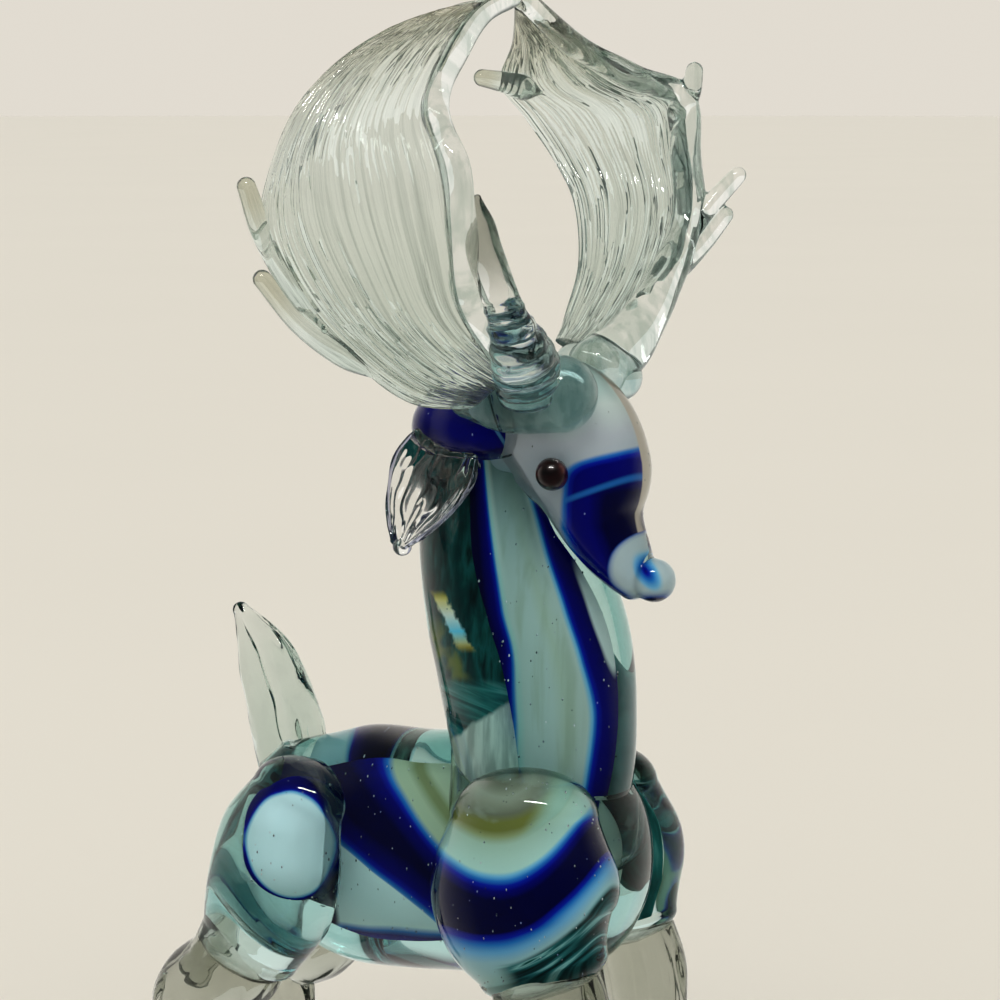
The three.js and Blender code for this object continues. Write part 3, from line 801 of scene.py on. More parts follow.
def dot(tree, place, way, start=(0, 0, 0)):
    """How far a place lies from the start, along a way."""
    moved = put(tree, "ShaderNodeVectorMath", (0, place), (1, tuple(start)), operation="SUBTRACT")
    return put(tree, "ShaderNodeVectorMath", (0, moved.outputs[0]), (1, tuple(way)),
               operation="DOT_PRODUCT").outputs["Value"]


def noise(tree, place, scale, detail=2.0, stretch=(1, 1, 1)):
    """Noise in the glass, drawn out along an axis whose stretch is small."""
    drawn = put(tree, "ShaderNodeVectorMath", (0, place), (1, stretch), operation="MULTIPLY")
    return put(tree, "ShaderNodeTexNoise", ("Vector", drawn.outputs[0]), ("Scale", scale),
               ("Detail", detail)).outputs[0]


def bands(tree, field, stops):
    """Colours that follow one another at rising values of a field."""
    low, high = stops[0][0], stops[-1][0]
    share = put(tree, "ShaderNodeMapRange", ("Value", field), ("From Min", low), ("From Max", high))
    ramp = put(tree, "ShaderNodeValToRGB", ("Fac", share.outputs[0]))
    marks = ramp.color_ramp.elements
    marks.remove(marks[1])
    for k, (value, colour) in enumerate(stops):
        spot = (value - low) / (high - low)
        mark = marks[0] if k == 0 else marks.new(spot)
        mark.position, mark.color = spot, (*colour, 1)
    return ramp.outputs[0]


def over(tree, share, below, above):
    """One colour laid over another. Each is a socket or three numbers."""
    first, second = ((*side, 1) if isinstance(side, tuple) else side for side in (below, above))
    return put(tree, "ShaderNodeMix", ("Factor", share), (6, first), (7, second),
               data_type="RGBA").outputs[2]


def step(tree, field, start, stop):
    """0 before start, 1 past stop, smooth between."""
    return put(tree, "ShaderNodeMapRange", ("Value", field), ("From Min", start), ("From Max", stop),
               interpolation_type="SMOOTHSTEP").outputs[0]


def close_to(tree, field, value, outer, inner):
    """1 where a field is within inner of a value, 0 beyond outer, smooth between."""
    away = maths(tree, "ABSOLUTE", maths(tree, "SUBTRACT", field, value))
    return step(tree, away, outer, inner)


def product(tree, first, *others):
    for other in others:
        first = maths(tree, "MULTIPLY", first, other)
    return first


def distance(tree, across, up):
    """How far a place lies from where both fields are zero."""
    way = put(tree, "ShaderNodeCombineXYZ", ("X", across), ("Y", up))
    return put(tree, "ShaderNodeVectorMath", (0, way.outputs[0]), operation="LENGTH").outputs["Value"]


def wander(tree, p, scale):
    """A slow drift between about -0.5 and 0.5, so that no edge is a clean line."""
    return maths(tree, "SUBTRACT", noise(tree, p, scale, 1.0), 0.5)


def strokes(tree, across, along, scale, **look):
    """Noise over two fields, for strokes that run along the one that changes slowly."""
    spread = put(tree, "ShaderNodeCombineXYZ", ("X", across), ("Y", along))
    return put(tree, "ShaderNodeTexNoise", ("Vector", spread.outputs[0]), ("Scale", scale),
               *look.items()).outputs[0]


def kept(tree, name):
    """A number that the mesh keeps at each of its points."""
    return put(tree, "ShaderNodeAttribute", attribute_name=name).outputs["Fac"]


CLEAR = (1, 1, 1)


def coil_tint(tree, p):
    """Turns of darker glass wound round the foot of the brow tine."""
    foot, past = np.array(BROW[0]), np.array(BROW[2])
    length = np.linalg.norm(past - foot)
    up = dot(tree, p, (past - foot) / length, POLL + foot)
    up = maths(tree, "MULTIPLY_ADD", noise(tree, p, 0.25, 2.0), 2.5, up)
    turn = maths(tree, "SINE", maths(tree, "MULTIPLY", up, 2.9))
    wound = product(tree, step(tree, up, length, length * 0.7), step(tree, up, -3.0, 1.0), 0.7)
    dark = product(tree, step(tree, turn, 0.1, 0.9), wound)
    tint = over(tree, noise(tree, p, 0.2, 1.0), (0.2, 0.36, 0.42), (0.2, 0.22, 0.42))
    clear = over(tree, step(tree, up, length, length + 12), CLEAR, (0.45, 0.46, 0.42))
    return over(tree, dark, clear, tint)


def rib_shade_tint(tree, p):
    """Long grey lines of painted shade up an antler palm, closest together at its foot, standing in for the
    dark lines that the ribs show by refraction.
    """
    u, v = kept(tree, "around"), kept(tree, "along")
    lines = strokes(tree, product(tree, u, 70), product(tree, v, 1.6), 1.0, Detail=3.0, Roughness=0.65)
    foot = step(tree, v, 0.7, 0.1)
    strength = maths(tree, "MULTIPLY_ADD", foot, 0.4, 0.32)
    colour = over(tree, foot, (0.97, 1, 0.98), (0.84, 0.9, 0.86))
    colour = over(tree, step(tree, v, 0.6, 0.95), colour, (0.8, 0.78, 0.68))
    return over(tree, product(tree, step(tree, lines, 0.46, 0.66), strength), colour, (0.28, 0.34, 0.31))


def pad_tint(tree, p):
    """Cloudy streaks in the pads under the antlers."""
    cloud = step(tree, noise(tree, p, 0.4, 3.0, (1, 1, 0.5)), 0.4, 0.62)
    return over(tree, cloud, CLEAR, (0.6, 0.72, 0.74))


def drawn_tint(tree, p):
    """Grey-green streaks along a rod."""
    lines = step(tree, noise(tree, p, 0.45, 3.0, (1, 1, 0.14)), 0.46, 0.62)
    return over(tree, product(tree, lines, 0.7), CLEAR, (0.55, 0.64, 0.6))


def rim_refraction_tint(tree, p):
    """Painted dark rims along the two edges of a leaf, standing in for the crown's cobalt seen through the
    thick edges.
    """
    turn = maths(tree, "SINE", maths(tree, "MULTIPLY", kept(tree, "around"), 2 * math.pi))
    edge = maths(tree, "MULTIPLY_ADD", noise(tree, p, 0.3, 2.0), 0.08, maths(tree, "ABSOLUTE", turn))
    return over(tree, product(tree, step(tree, edge, 0.95, 1.01), 0.8), CLEAR, (0.1, 0.12, 0.3))


def polished_glass(name, tint, depth, waves=0.12, milk=0.0, drawn=None):
    """Fire-polished glass that darkens with its thickness. Milk is its share of cloudy white."""
    material, tree, end = blank(name)
    p = here(tree)
    ripple = noise(tree, p, 0.09, 1.0, (1, 1, 0.6))
    bump = put(tree, "ShaderNodeBump", ("Height", ripple), ("Strength", waves), ("Distance", 0.001))
    film = noise(tree, p, 0.25, 3.0)
    dull = put(tree, "ShaderNodeMapRange", ("Value", film), ("To Min", 0.0), ("To Max", 0.02))
    body = drawn(tree, p) if drawn else (*CLEAR, 1)
    shader = put(tree, "ShaderNodeBsdfPrincipled", ("Base Color", body), ("Roughness", dull.outputs[0]),
                 ("IOR", 1.5), ("Transmission Weight", 1 - milk), ("Normal", bump.outputs[0]))
    inside = put(tree, "ShaderNodeVolumeAbsorption", ("Color", (*tint, 1)), ("Density", depth))
    tree.links.new(shader.outputs[0], end.inputs["Surface"])
    tree.links.new(inside.outputs[0], end.inputs["Volume"])
    return material


def core_glass(name, paint):
    """Opaque coloured glass under its casing. Paint makes its colour from the place."""
    material, tree, end = blank(name)
    p = here(tree)
    colour = specked(tree, p, paint(tree, p))
    rough = put(tree, "ShaderNodeMapRange", ("Value", noise(tree, p, 0.6)), ("To Min", 0.25),
                ("To Max", 0.5))
    bump = put(tree, "ShaderNodeBump", ("Height", noise(tree, p, 0.5, 3.0)), ("Strength", 0.15),
               ("Distance", 0.0004))
    shader = put(tree, "ShaderNodeBsdfPrincipled", ("Base Color", colour), ("Roughness", rough.outputs[0]),
                 ("Normal", bump.outputs[0]), ("Specular IOR Level", 0.0))
    tree.links.new(shader.outputs[0], end.inputs["Surface"])
    return material


def specked(tree, p, colour):
    """Pale specks on the dark colours and dark ones on the pale."""
    drawn = put(tree, "ShaderNodeVectorMath", (0, p), (1, (1, 1, 0.55)), operation="MULTIPLY")
    cells = put(tree, "ShaderNodeTexVoronoi", ("Vector", drawn.outputs[0]), ("Scale", 0.75),
                ("Randomness", 1.0))
    near = maths(tree, "LESS_THAN", cells.outputs["Distance"], 0.07)
    chosen = put(tree, "ShaderNodeSeparateColor", ("Color", cells.outputs["Color"]))
    some = maths(tree, "LESS_THAN", chosen.outputs[0], 0.33)
    light = put(tree, "ShaderNodeRGBToBW", ("Color", colour))
    pale = step(tree, light.outputs[0], 0.1, 0.2)
    speck = over(tree, pale, (0.35, 0.42, 0.75), (0.03, 0.06, 0.05))
    return over(tree, product(tree, near, some, 0.8), colour, speck)


# The colours of the glass rods that the cores are drawn with
NAVY = (0.002, 0.003, 0.05)
COBALT = (0.003, 0.004, 0.19)
ROYAL = (0.005, 0.02, 0.42)
AZURE = (0.03, 0.22, 0.62)
SKY = (0.19, 0.52, 0.78)
MILK = (0.7, 0.8, 0.79)
CREAM = (0.55, 0.62, 0.45)
MOSS = (0.3, 0.33, 0.17)
OLIVE = (0.2, 0.22, 0.06)
SMOKE = (0.17, 0.19, 0.14)
LAVENDER = (0.45, 0.54, 0.61)
TEAL = (0.01, 0.1, 0.09)
DARK = (0.002, 0.01, 0.012)
AQUA = (0.42, 0.66, 0.64)
PALE = (0.5, 0.6, 0.52)
ICE = (0.68, 0.95, 1.0)
FROST = (0.85, 0.98, 1)
ROPE = (0.53, 0.64, 0.62)


def seen(tree, p, start=AIM, near=False):
    """How far right and how far up a place lies in the photograph's plane.

    Near takes a place on the deer's left as its mirror image on the right.
    """
    if near:
        apart = put(tree, "ShaderNodeSeparateXYZ", ("Vector", p))
        side = maths(tree, "MULTIPLY", maths(tree, "ABSOLUTE", apart.outputs[1]), -1.0)
        p = put(tree, "ShaderNodeCombineXYZ", ("X", apart.outputs[0]), ("Y", side),
                ("Z", apart.outputs[2])).outputs[0]
    return dot(tree, p, RIGHTWARDS, start), dot(tree, p, UPWARDS, start)


def slanted(tree, right, up, degrees, wave=None, amount=1.0):
    """A field that rises in one direction of the photograph's plane."""
    a = math.radians(degrees)
    field = maths(tree, "MULTIPLY", right, math.cos(a))
    field = maths(tree, "MULTIPLY_ADD", up, math.sin(a), field)
    return field if wave is None else maths(tree, "MULTIPLY_ADD", wave, amount, field)


def bowed(tree, right, middle, bend):
    """A bow in the photograph's plane: bend times the square of the way from its middle."""
    way = maths(tree, "SUBTRACT", right, middle)
    return maths(tree, "MULTIPLY", maths(tree, "MULTIPLY", way, way), bend)


def torso_paint(tree, p):
    """A cobalt band that widens upward, olive and cream before it, white below, navy at the rump."""
    right, up = seen(tree, p)
    wave = wander(tree, p, 0.06)
    ahead = slanted(tree, right, up, 45, wave, 2)
    behind = slanted(tree, right, up, 57, wave, 2)
    front = bands(tree, ahead, [
        (-60, NAVY), (-49, NAVY), (-46.4, COBALT), (-45.6, ROYAL), (-44.9, AZURE), (-44, CREAM),
        (-42.4, CREAM), (-41.1, MOSS), (-40.4, MOSS), (-39.4, CREAM), (-30, PALE),
    ])
    white = bands(tree, up, [
        (-70, AQUA), (-69, AQUA), (-68.7, ROYAL), (-68.2, COBALT), (-67.8, AZURE), (-67.2, FROST),
        (-50, FROST),
    ])
    edge = bands(tree, behind, [(-61, ICE), (-60, AZURE), (-59.4, ROYAL), (-58.6, COBALT), (-56, NAVY)])
    colour = over(tree, step(tree, behind, -60.2, -60.4), edge, white)
    colour = over(tree, step(tree, ahead, -50, -48), colour, front)
    rump = step(tree, maths(tree, "MULTIPLY_ADD", wave, 3.0, right), -24.0, -25.2)
    return over(tree, rump, colour, NAVY)


def neck_paint(tree, p):
    """White between two cobalt bands. The ribbon runs from 0 at the white's left edge to 1."""
    field = maths(tree, "MULTIPLY_ADD", wander(tree, p, 0.07), 0.05, kept(tree, "ribbon"))
    colour = bands(tree, field, [
        (-0.9, NAVY), (-0.26, NAVY), (-0.1, COBALT), (-0.04, ROYAL), (-0.01, AZURE), (0.025, AQUA),
        (0.1, ROPE), (0.45, ROPE), (0.62, PALE), (0.9, ROPE), (0.965, SKY), (0.99, AZURE), (1.03, ROYAL),
        (1.1, COBALT), (1.5, NAVY),
    ])
    streaks = step(tree, noise(tree, p, 0.6, 3.0, (1, 1, 0.05)), 0.45, 0.7)
    white = product(tree, step(tree, field, 0.08, 0.2), step(tree, field, 0.92, 0.8))
    colour = over(tree, product(tree, streaks, 0.45, white), colour, (0.36, 0.44, 0.34))
    up = dot(tree, p, (0, 0, 1), NECK_FOOT)
    shadow = product(tree, step(tree, up, 36, 66), white, 0.8)
    colour = over(tree, shadow, colour, (0.16, 0.25, 0.26))
    thread = product(tree, step(tree, field, 1.3, 1.36), step(tree, up, 18, 24), step(tree, up, 47, 40))
    return over(tree, thread, colour, MILK)


def shade_veil_paint(tree, p):
    """Painted shade behind the ribbon, standing in for the dark room seen in the thick glass: dark teal
    streaked along the neck and wound across near its foot, a painted glint, and a pale foot for the backdrop
    seen through.
    """
    up = dot(tree, p, (0, 0, 1), NECK_FOOT)
    right, high = seen(tree, p)
    line = slanted(tree, right, high, 28)
    streaks = noise(tree, p, 0.5, 4.0, (1, 1, 0.12))
    dark = bands(tree, streaks, [
        (0.3, DARK), (0.48, (0.006, 0.06, 0.06)), (0.58, (0.015, 0.12, 0.115)), (0.7, DARK),
    ])
    cloud = step(tree, noise(tree, p, 0.2, 2.0), 0.45, 0.62)
    patch = product(tree, step(tree, up, 26, 28), step(tree, up, 38, 32), cloud)
    dark = over(tree, product(tree, patch, step(tree, line, -14.4, -15.4)), dark, OLIVE)
    # Painted glint: a ragged streak of gold, sky blue and white, standing in for a glint of light in the
    # glass.
    ragged = maths(tree, "MULTIPLY_ADD", noise(tree, p, 1.2, 3.0, (1, 1, 0.6)), 1.5, line)
    glint_edge = close_to(tree, ragged, -12.7, 1.2, 0.6)
    painted_glint = product(tree, glint_edge, step(tree, up, 31, 33), step(tree, up, 41, 39))
    glint_colours = bands(tree, up, [
        (32, (0.9, 0.6, 0.1)), (34.5, (0.2, 0.75, 1)), (37, (1, 1, 0.9)), (40, (1, 0.75, 0.1)),
    ])
    dark = over(tree, painted_glint, dark, glint_colours)
    across = product(tree, slanted(tree, right, high, -20), 0.1)
    wound = strokes(tree, across, slanted(tree, right, high, 70), 0.75, Detail=3.0, Distortion=0.6)
    turns = bands(tree, wound, [
        (0.3, (0.01, 0.05, 0.05)), (0.45, (0.02, 0.12, 0.12)), (0.58, (0.05, 0.24, 0.23)),
        (0.7, (0.15, 0.4, 0.38)),
    ])
    low = step(tree, up, 27.5, 25.0)
    foot = step(tree, slanted(tree, right, high, 126, streaks, 2.0), -26.0, -26.8)
    pale = over(tree, step(tree, streaks, 0.42, 0.6), (0.45, 0.5, 0.46), (0.8, 0.84, 0.78))
    return over(tree, foot, over(tree, low, dark, turns), pale)


def shade_paint(tree, p):
    """Painted teal shade beside the ribbon, with darker streaks along the neck, standing in for the dark
    refraction of the thick glass.
    """
    streaks = noise(tree, p, 0.4, 3.0, (1, 1, 0.15))
    return bands(tree, streaks, [
        (0.3, (0.02, 0.09, 0.09)), (0.5, (0.06, 0.22, 0.21)), (0.7, (0.2, 0.42, 0.4)),
    ])


def crown_paint(tree, p):
    """Cobalt with one pale streak, which runs out to sky blue towards the brow."""
    right, up = seen(tree, p, CROWN)
    field = slanted(tree, right, up, 38, noise(tree, p, 0.1, 1.0), 2)
    colour = bands(tree, field, [
        (-9, NAVY), (-5, COBALT), (5.2, COBALT), (6.0, ROYAL), (6.6, AZURE), (7.4, SKY), (8.4, AQUA),
    ])
    streak = close_to(tree, slanted(tree, right, up, 35), 0.2, 0.35, 0.1)
    return over(tree, product(tree, streak, 0.5), colour, SKY)


def head_paint(tree, p):
    """A cobalt muzzle with one pale streak, under a lavender brow."""
    right, up = seen(tree, p)
    wave = wander(tree, p, 0.12)
    rounded = maths(tree, "MAXIMUM", maths(tree, "MULTIPLY_ADD", up, -0.4, -1.6), 0.0)
    from_left = maths(tree, "SUBTRACT", maths(tree, "SUBTRACT", right, rounded), 11.0)
    from_top = maths(tree, "SUBTRACT", maths(tree, "MULTIPLY_ADD", right, 0.26, 1.9), up)
    inside = put(tree, "ShaderNodeMath", (0, from_left), (1, from_top), (2, 3.0), operation="SMOOTH_MIN")
    inside = maths(tree, "MULTIPLY_ADD", wave, 0.8, inside.outputs[0])
    brow = bands(tree, maths(tree, "MULTIPLY_ADD", wave, 6, up), [
        (-4, LAVENDER), (4, LAVENDER), (9, (0.56, 0.61, 0.68)), (14, MILK), (20, AQUA),
    ])
    muzzle = bands(tree, inside, [(-0.6, AZURE), (0.0, ROYAL), (0.7, COBALT), (3, COBALT), (5, NAVY)])
    rise = maths(tree, "SUBTRACT", up, maths(tree, "MULTIPLY_ADD", right, 0.38, -3.7))
    muzzle = over(tree, product(tree, close_to(tree, rise, 0.0, 0.75, 0.1), 0.7), muzzle, AZURE)
    colour = over(tree, step(tree, inside, -1.3, -0.5), brow, muzzle)
    # Painted refraction: a warm stripe on the far side stands in for the pale backdrop seen through the
    # head's clear rim.
    colour = over(tree, backdrop_rim(tree, p, up), colour, (0.62, 0.56, 0.47))
    return nose_paint(tree, right, up, wave, colour)


def backdrop_rim(tree, p, up):
    """The share of a painted warm stripe down the left side of the brow and muzzle, standing in for the pale
    backdrop seen through the clear rim.
    """
    along = put(tree, "ShaderNodeSeparateXYZ", ("Vector", p)).outputs
    aside = step(tree, maths(tree, "MULTIPLY_ADD", up, -0.14, along[1]), 1.9, 2.4)
    ahead = step(tree, maths(tree, "MULTIPLY_ADD", along[2], 0.42, along[0]), 71, 72.5)
    return product(tree, aside, ahead, step(tree, up, -9, -7))


def nose_paint(tree, right, up, wave, colour):
    """A white curl round a blue spot, laid over the muzzle's colour."""
    past = maths(tree, "SUBTRACT", right, 21.9)
    past = maths(tree, "SUBTRACT", past, product(tree, maths(tree, "MAXIMUM", past, 0.0), 0.6))
    far = distance(tree, past, maths(tree, "ADD", up, 10.1))
    far = maths(tree, "ADD", far, wave)
    curl = bands(tree, far, [
        (0, (0.5, 0.63, 0.66)), (3.9, (0.5, 0.63, 0.66)), (4.4, (0.35, 0.47, 0.6)), (4.8, (0.04, 0.1, 0.4)),
    ])
    colour = over(tree, step(tree, far, 5.0, 4.7), colour, curl)
    across = maths(tree, "SUBTRACT", slanted(tree, right, up, 35), 12.2)
    along = maths(tree, "SUBTRACT", slanted(tree, right, up, -55), 22.2)
    near = distance(tree, across, product(tree, along, 0.5))
    blue = bands(tree, near, [(0, COBALT), (0.3, ROYAL), (0.8, AZURE), (1.4, SKY), (2.0, ROPE)])
    return over(tree, step(tree, near, 2.2, 1.2), colour, blue)


def shoulder_paint(tree, p):
    """A hanging cobalt band, white and an olive swirl over it, pale blue and a painted teal reflection pool
    under it.
    """
    right, up = seen(tree, p, near=True)
    wave = wander(tree, p, 0.09)
    above = maths(tree, "SUBTRACT", maths(tree, "ADD", up, 58.4), bowed(tree, right, -0.5, 0.055))
    above = maths(tree, "MULTIPLY_ADD", wave, 0.8, above)
    below = maths(tree, "SUBTRACT", maths(tree, "ADD", up, 67.6), bowed(tree, right, -2.5, 0.037))
    below = maths(tree, "MULTIPLY_ADD", wave, 1.2, below)
    upper = bands(tree, above, [
        (-6, NAVY), (-3, NAVY), (-1.6, COBALT), (-0.8, ROYAL), (-0.1, AZURE), (0.5, SKY),
        (1.1, (0.5, 0.74, 0.68)), (4.8, (0.42, 0.6, 0.5)), (6, (0.3, 0.36, 0.18)), (6.8, OLIVE),
        (8, OLIVE), (9.4, SMOKE), (11.5, (0.3, 0.35, 0.28)), (12.6, SMOKE), (14, AQUA), (18, SMOKE),
    ])
    lower = bands(tree, below, [
        (-6, AQUA), (-3.4, (0.4, 0.64, 0.72)), (-1.8, (0.2, 0.5, 0.8)), (-0.5, AZURE), (0.3, ROYAL),
        (1.2, COBALT),
    ])
    # Painted reflection: a teal pool low at the front under the band, standing in for reflections in the
    # clear glass there.
    flow = strokes(tree, product(tree, right, 0.12), below, 0.8, Detail=2.0)
    painted_reflection_pool = bands(tree, flow, [
        (0.3, DARK), (0.44, (0.01, 0.07, 0.075)), (0.55, (0.04, 0.2, 0.21)), (0.64, (0.3, 0.6, 0.6)),
        (0.7, TEAL),
    ])
    ahead = step(tree, slanted(tree, right, up, 30), -36.5, -33.5)
    lower = over(tree, product(tree, step(tree, below, -3.6, -4.6), ahead), lower, painted_reflection_pool)
    colour = over(tree, step(tree, below, 1.4, 1.0), upper, lower)
    haze = step(tree, noise(tree, p, 0.25, 2.0, (1, 1, 2)), 0.5, 0.72)
    colour = over(tree, product(tree, haze, step(tree, above, 5, 8), 0.5), colour, (0.3, 0.36, 0.3))
    edge = step(tree, slanted(tree, right, up, -25), 24.5, 28.0)
    return over(tree, product(tree, edge, step(tree, above, 4.6, 5.4)), colour, (0.36, 0.56, 0.47))


def far_shoulder_shade_paint(tree, p):
    """Painted shade: dark teal with long paler streaks, standing in for the teal shading seen in the far
    shoulder's glass.
    """
    streaks = noise(tree, p, 0.3, 3.0, (1, 1, 0.2))
    return bands(tree, streaks, [
        (0.3, (0.01, 0.05, 0.05)), (0.45, (0.02, 0.14, 0.13)), (0.55, (0.08, 0.27, 0.26)),
        (0.7, (0.25, 0.48, 0.46)),
    ])


def haunch_paint(tree, p):
    """A white oval in a cobalt ring."""
    right, up = seen(tree, p, haunch_core_centre(-1), near=True)
    across = maths(tree, "DIVIDE", maths(tree, "ADD", right, 0.3), HAUNCH_CORE_WIDTH / 2)
    along = maths(tree, "DIVIDE", maths(tree, "ADD", up, 0.2), HAUNCH_CORE_HEIGHT / 2)
    far = maths(tree, "MULTIPLY_ADD", wander(tree, p, 0.12), 0.1, distance(tree, across, along))
    return bands(tree, far, [
        (0, ICE), (0.9, ICE), (0.94, SKY), (0.96, ROYAL), (0.98, COBALT), (1.06, NAVY), (1.4, NAVY),
    ])


def eye_glass():
    """Dark amber glass under a glossy coat."""
    material, tree, end = blank("eye_amber")
    cloud = noise(tree, here(tree), 0.35, 2.0)
    colour = bands(tree, cloud, [
        (0.35, (0.003, 0.001, 0.001)), (0.55, (0.02, 0.004, 0.004)), (0.75, (0.1, 0.025, 0.02)),
    ])
    shader = put(tree, "ShaderNodeBsdfPrincipled", ("Base Color", colour), ("Roughness", 0.3),
                 ("Coat Weight", 1.0), ("Coat Roughness", 0.02), ("Coat IOR", 1.5))
    tree.links.new(shader.outputs[0], end.inputs["Surface"])
    return material


def seed_glass():
    """Bubbles and specks, from dark to nearly white."""
    material, tree, end = blank("seed_specks")
    pick = noise(tree, here(tree), 3.0, 0.0)
    colour = bands(tree, pick, [
        (0.35, (0.02, 0.03, 0.05)), (0.48, (0.3, 0.35, 0.4)), (0.65, (0.9, 0.92, 0.95)),
    ])
    shader = put(tree, "ShaderNodeBsdfPrincipled", ("Base Color", colour), ("Roughness", 0.2))
    tree.links.new(shader.outputs[0], end.inputs["Surface"])
    return material


def floor_paint(colour):
    """A matt floor with a faint mottle."""
    material, tree, end = blank("pale_floor")
    where = put(tree, "ShaderNodeTexCoord").outputs["Object"]
    dim = tuple(share * 0.97 for share in colour)
    mottle = over(tree, noise(tree, where, 3.0, 3.0), dim, tuple(colour))
    shader = put(tree, "ShaderNodeBsdfPrincipled", ("Base Color", mottle), ("Roughness", 0.8))
    tree.links.new(shader.outputs[0], end.inputs["Surface"])
    return material


# Settings that a user would change


def colour_setting(name, about, default):
    return bpy.props.FloatVectorProperty(
        name=name, description=about, subtype="COLOR", size=3, min=0, max=1, default=default,
    )


class DeerGlass(bpy.types.PropertyGroup):
    aqua: colour_setting("Aqua", "Tint of the casings where they are thick", (0.37, 0.74, 0.735))
    aqua_depth: bpy.props.FloatProperty(
        name="Aqua depth", description="How strongly the casings absorb light, for each metre",
        min=0, default=40,
    )
    clear: colour_setting("Clear", "Tint of the antlers, ears, tail and legs", (0.72, 0.8, 0.74))
    clear_depth: bpy.props.FloatProperty(
        name="Clear depth", description="How strongly the clear glass absorbs light, for each metre",
        min=0, default=40,
    )


class DeerShape(bpy.types.PropertyGroup):
    rib_count: bpy.props.IntProperty(
        name="Antler ribs", description="How many ribs run up each antler palm", min=4, default=34
    )
    rib_height: bpy.props.FloatProperty(
        name="Rib height", description="How far an antler rib stands out", subtype="DISTANCE",
        unit="LENGTH", min=0, default=0.00011,
    )
    coils: bpy.props.IntProperty(
        name="Coils", description="How many coils lie round the foot of the brow tine", min=0, default=15
    )
    waver: bpy.props.FloatProperty(
        name="Waver", description="How far the hand-worked surfaces wander", subtype="DISTANCE",
        unit="LENGTH", min=0, default=0.0002,
    )
    seeds: bpy.props.FloatProperty(
        name="Seeds", description="How many tiny bubbles lie on a square metre of a core",
        min=0, default=80000,
    )


class DeerStage(bpy.types.PropertyGroup):
    floor: colour_setting("Floor", "Colour of the floor", (0.74, 0.705, 0.635))
    distance: bpy.props.FloatProperty(
        name="Camera distance", description="From the camera to the deer", subtype="DISTANCE",
        unit="LENGTH", default=0.48,
    )
    lens: bpy.props.FloatProperty(
        name="Lens", description="The camera's focal length", subtype="DISTANCE_CAMERA", default=108
    )
    power: bpy.props.FloatProperty(
        name="Light", description="Strength of the soft lamp", subtype="POWER", unit="POWER",
        min=0, default=3.24,
    )


# One operator for each group of pieces, and one for the stage

STANDING = []  # forms that later gathers are cut back from, in the order they were joined


def kept_glass(name):
    """A glass by name, made the first time it is asked for: its tint, its depth and how it differs."""
    made = bpy.data.materials.get(name)
    if made:
        return made
    look = bpy.context.scene.deer_glass
    aqua, clear = look.aqua_depth, look.clear_depth
    tint, depth, how = {
        "casing_aqua": (look.aqua, aqua, {}),
        "root_aqua": ((0.5, 0.68, 0.66), aqua * 2.5, {"drawn": pad_tint}),
        "beam_aqua": (look.aqua, aqua * 0.4, {"drawn": drawn_tint}),
        "coiled_clear": (look.aqua, aqua * 0.35, {"drawn": coil_tint}),
        "drawn_clear": (look.clear, clear, {"waves": 0.15}),
        "refraction_rimmed_clear": (look.clear, clear, {"waves": 0.15, "drawn": rim_refraction_tint}),
        "leg_clear": ((0.45, 0.49, 0.4), clear * 2.3, {"waves": 0.15}),
        "tail_clear": ((0.45, 0.64, 0.58), clear * 2.5, {"waves": 0.15}),
        "ribbed_clear": ((0.38, 0.55, 0.5), clear * 2, {"waves": 0.1, "milk": 0.07, "drawn": rib_shade_tint}),
    }[name]
    return polished_glass(name, tint, depth, **how)


def ridged(piece, glass, **values):
    """The piece with ridges drawn along or around it."""
    tree = bpy.data.node_groups.get("drawn ridges") or ridge_tree()
    return grown(piece, tree, Glass=kept_glass(glass), **values)


def fused(name, mesh, glass, slot, form, *nodes, ridges=None):
    """A glass gather, cut back a little inside those that it is fused to."""
    piece = place(name, mesh, kept_glass(glass))
    if ridges:
        ridged(piece, glass, **ridges)
    low, high = np.array(piece.bound_box).min(axis=0), np.array(piece.bound_box).max(axis=0)
    cutters = []
    for earlier in STANDING:
        cutter = earlier(grow=-SINK, sides=48, steps=6, domes=8)
        p = np.array([v.co for v in cutter.vertices])
        if (p.min(axis=0) < high).all() and (p.max(axis=0) > low).all():
            cutters.append(cutter)
        else:
            bpy.data.meshes.remove(cutter)
    if cutters:
        joined(piece, cutters, "DIFFERENCE")
    if form is not None:
        STANDING.append(form)
    return settle(smoothed(piece), slot, *nodes)


def coloured(name, mesh, material, slot, *nodes):
    """A coloured core, sheet or bead, finished as it is."""
    return settle(smoothed(place(name, mesh, material)), slot, *nodes)


def polish(context, seed, length=14):
    """The waver of a gather, as strong as the setting says."""
    return fire_polish(context.scene.deer_shape.waver / MM, length, seed)


class BuildTorso(bpy.types.Operator):
    """Build the torso: a banded core in a thick aqua casing"""

    bl_idname = "deer.build_torso"
    bl_label = "Torso"

    def execute(self, context):
        core = torso_form(grow=-TORSO_CASING)
        coloured("torso_colours", core, core_glass("torso_bands", torso_paint), "cobalt_core", "torso_core")
        fused("torso_glass", torso_form(relief=polish(context, 1)), "casing_aqua", "aqua_casing",
              torso_form, "torso_casing")
        return {"FINISHED"}


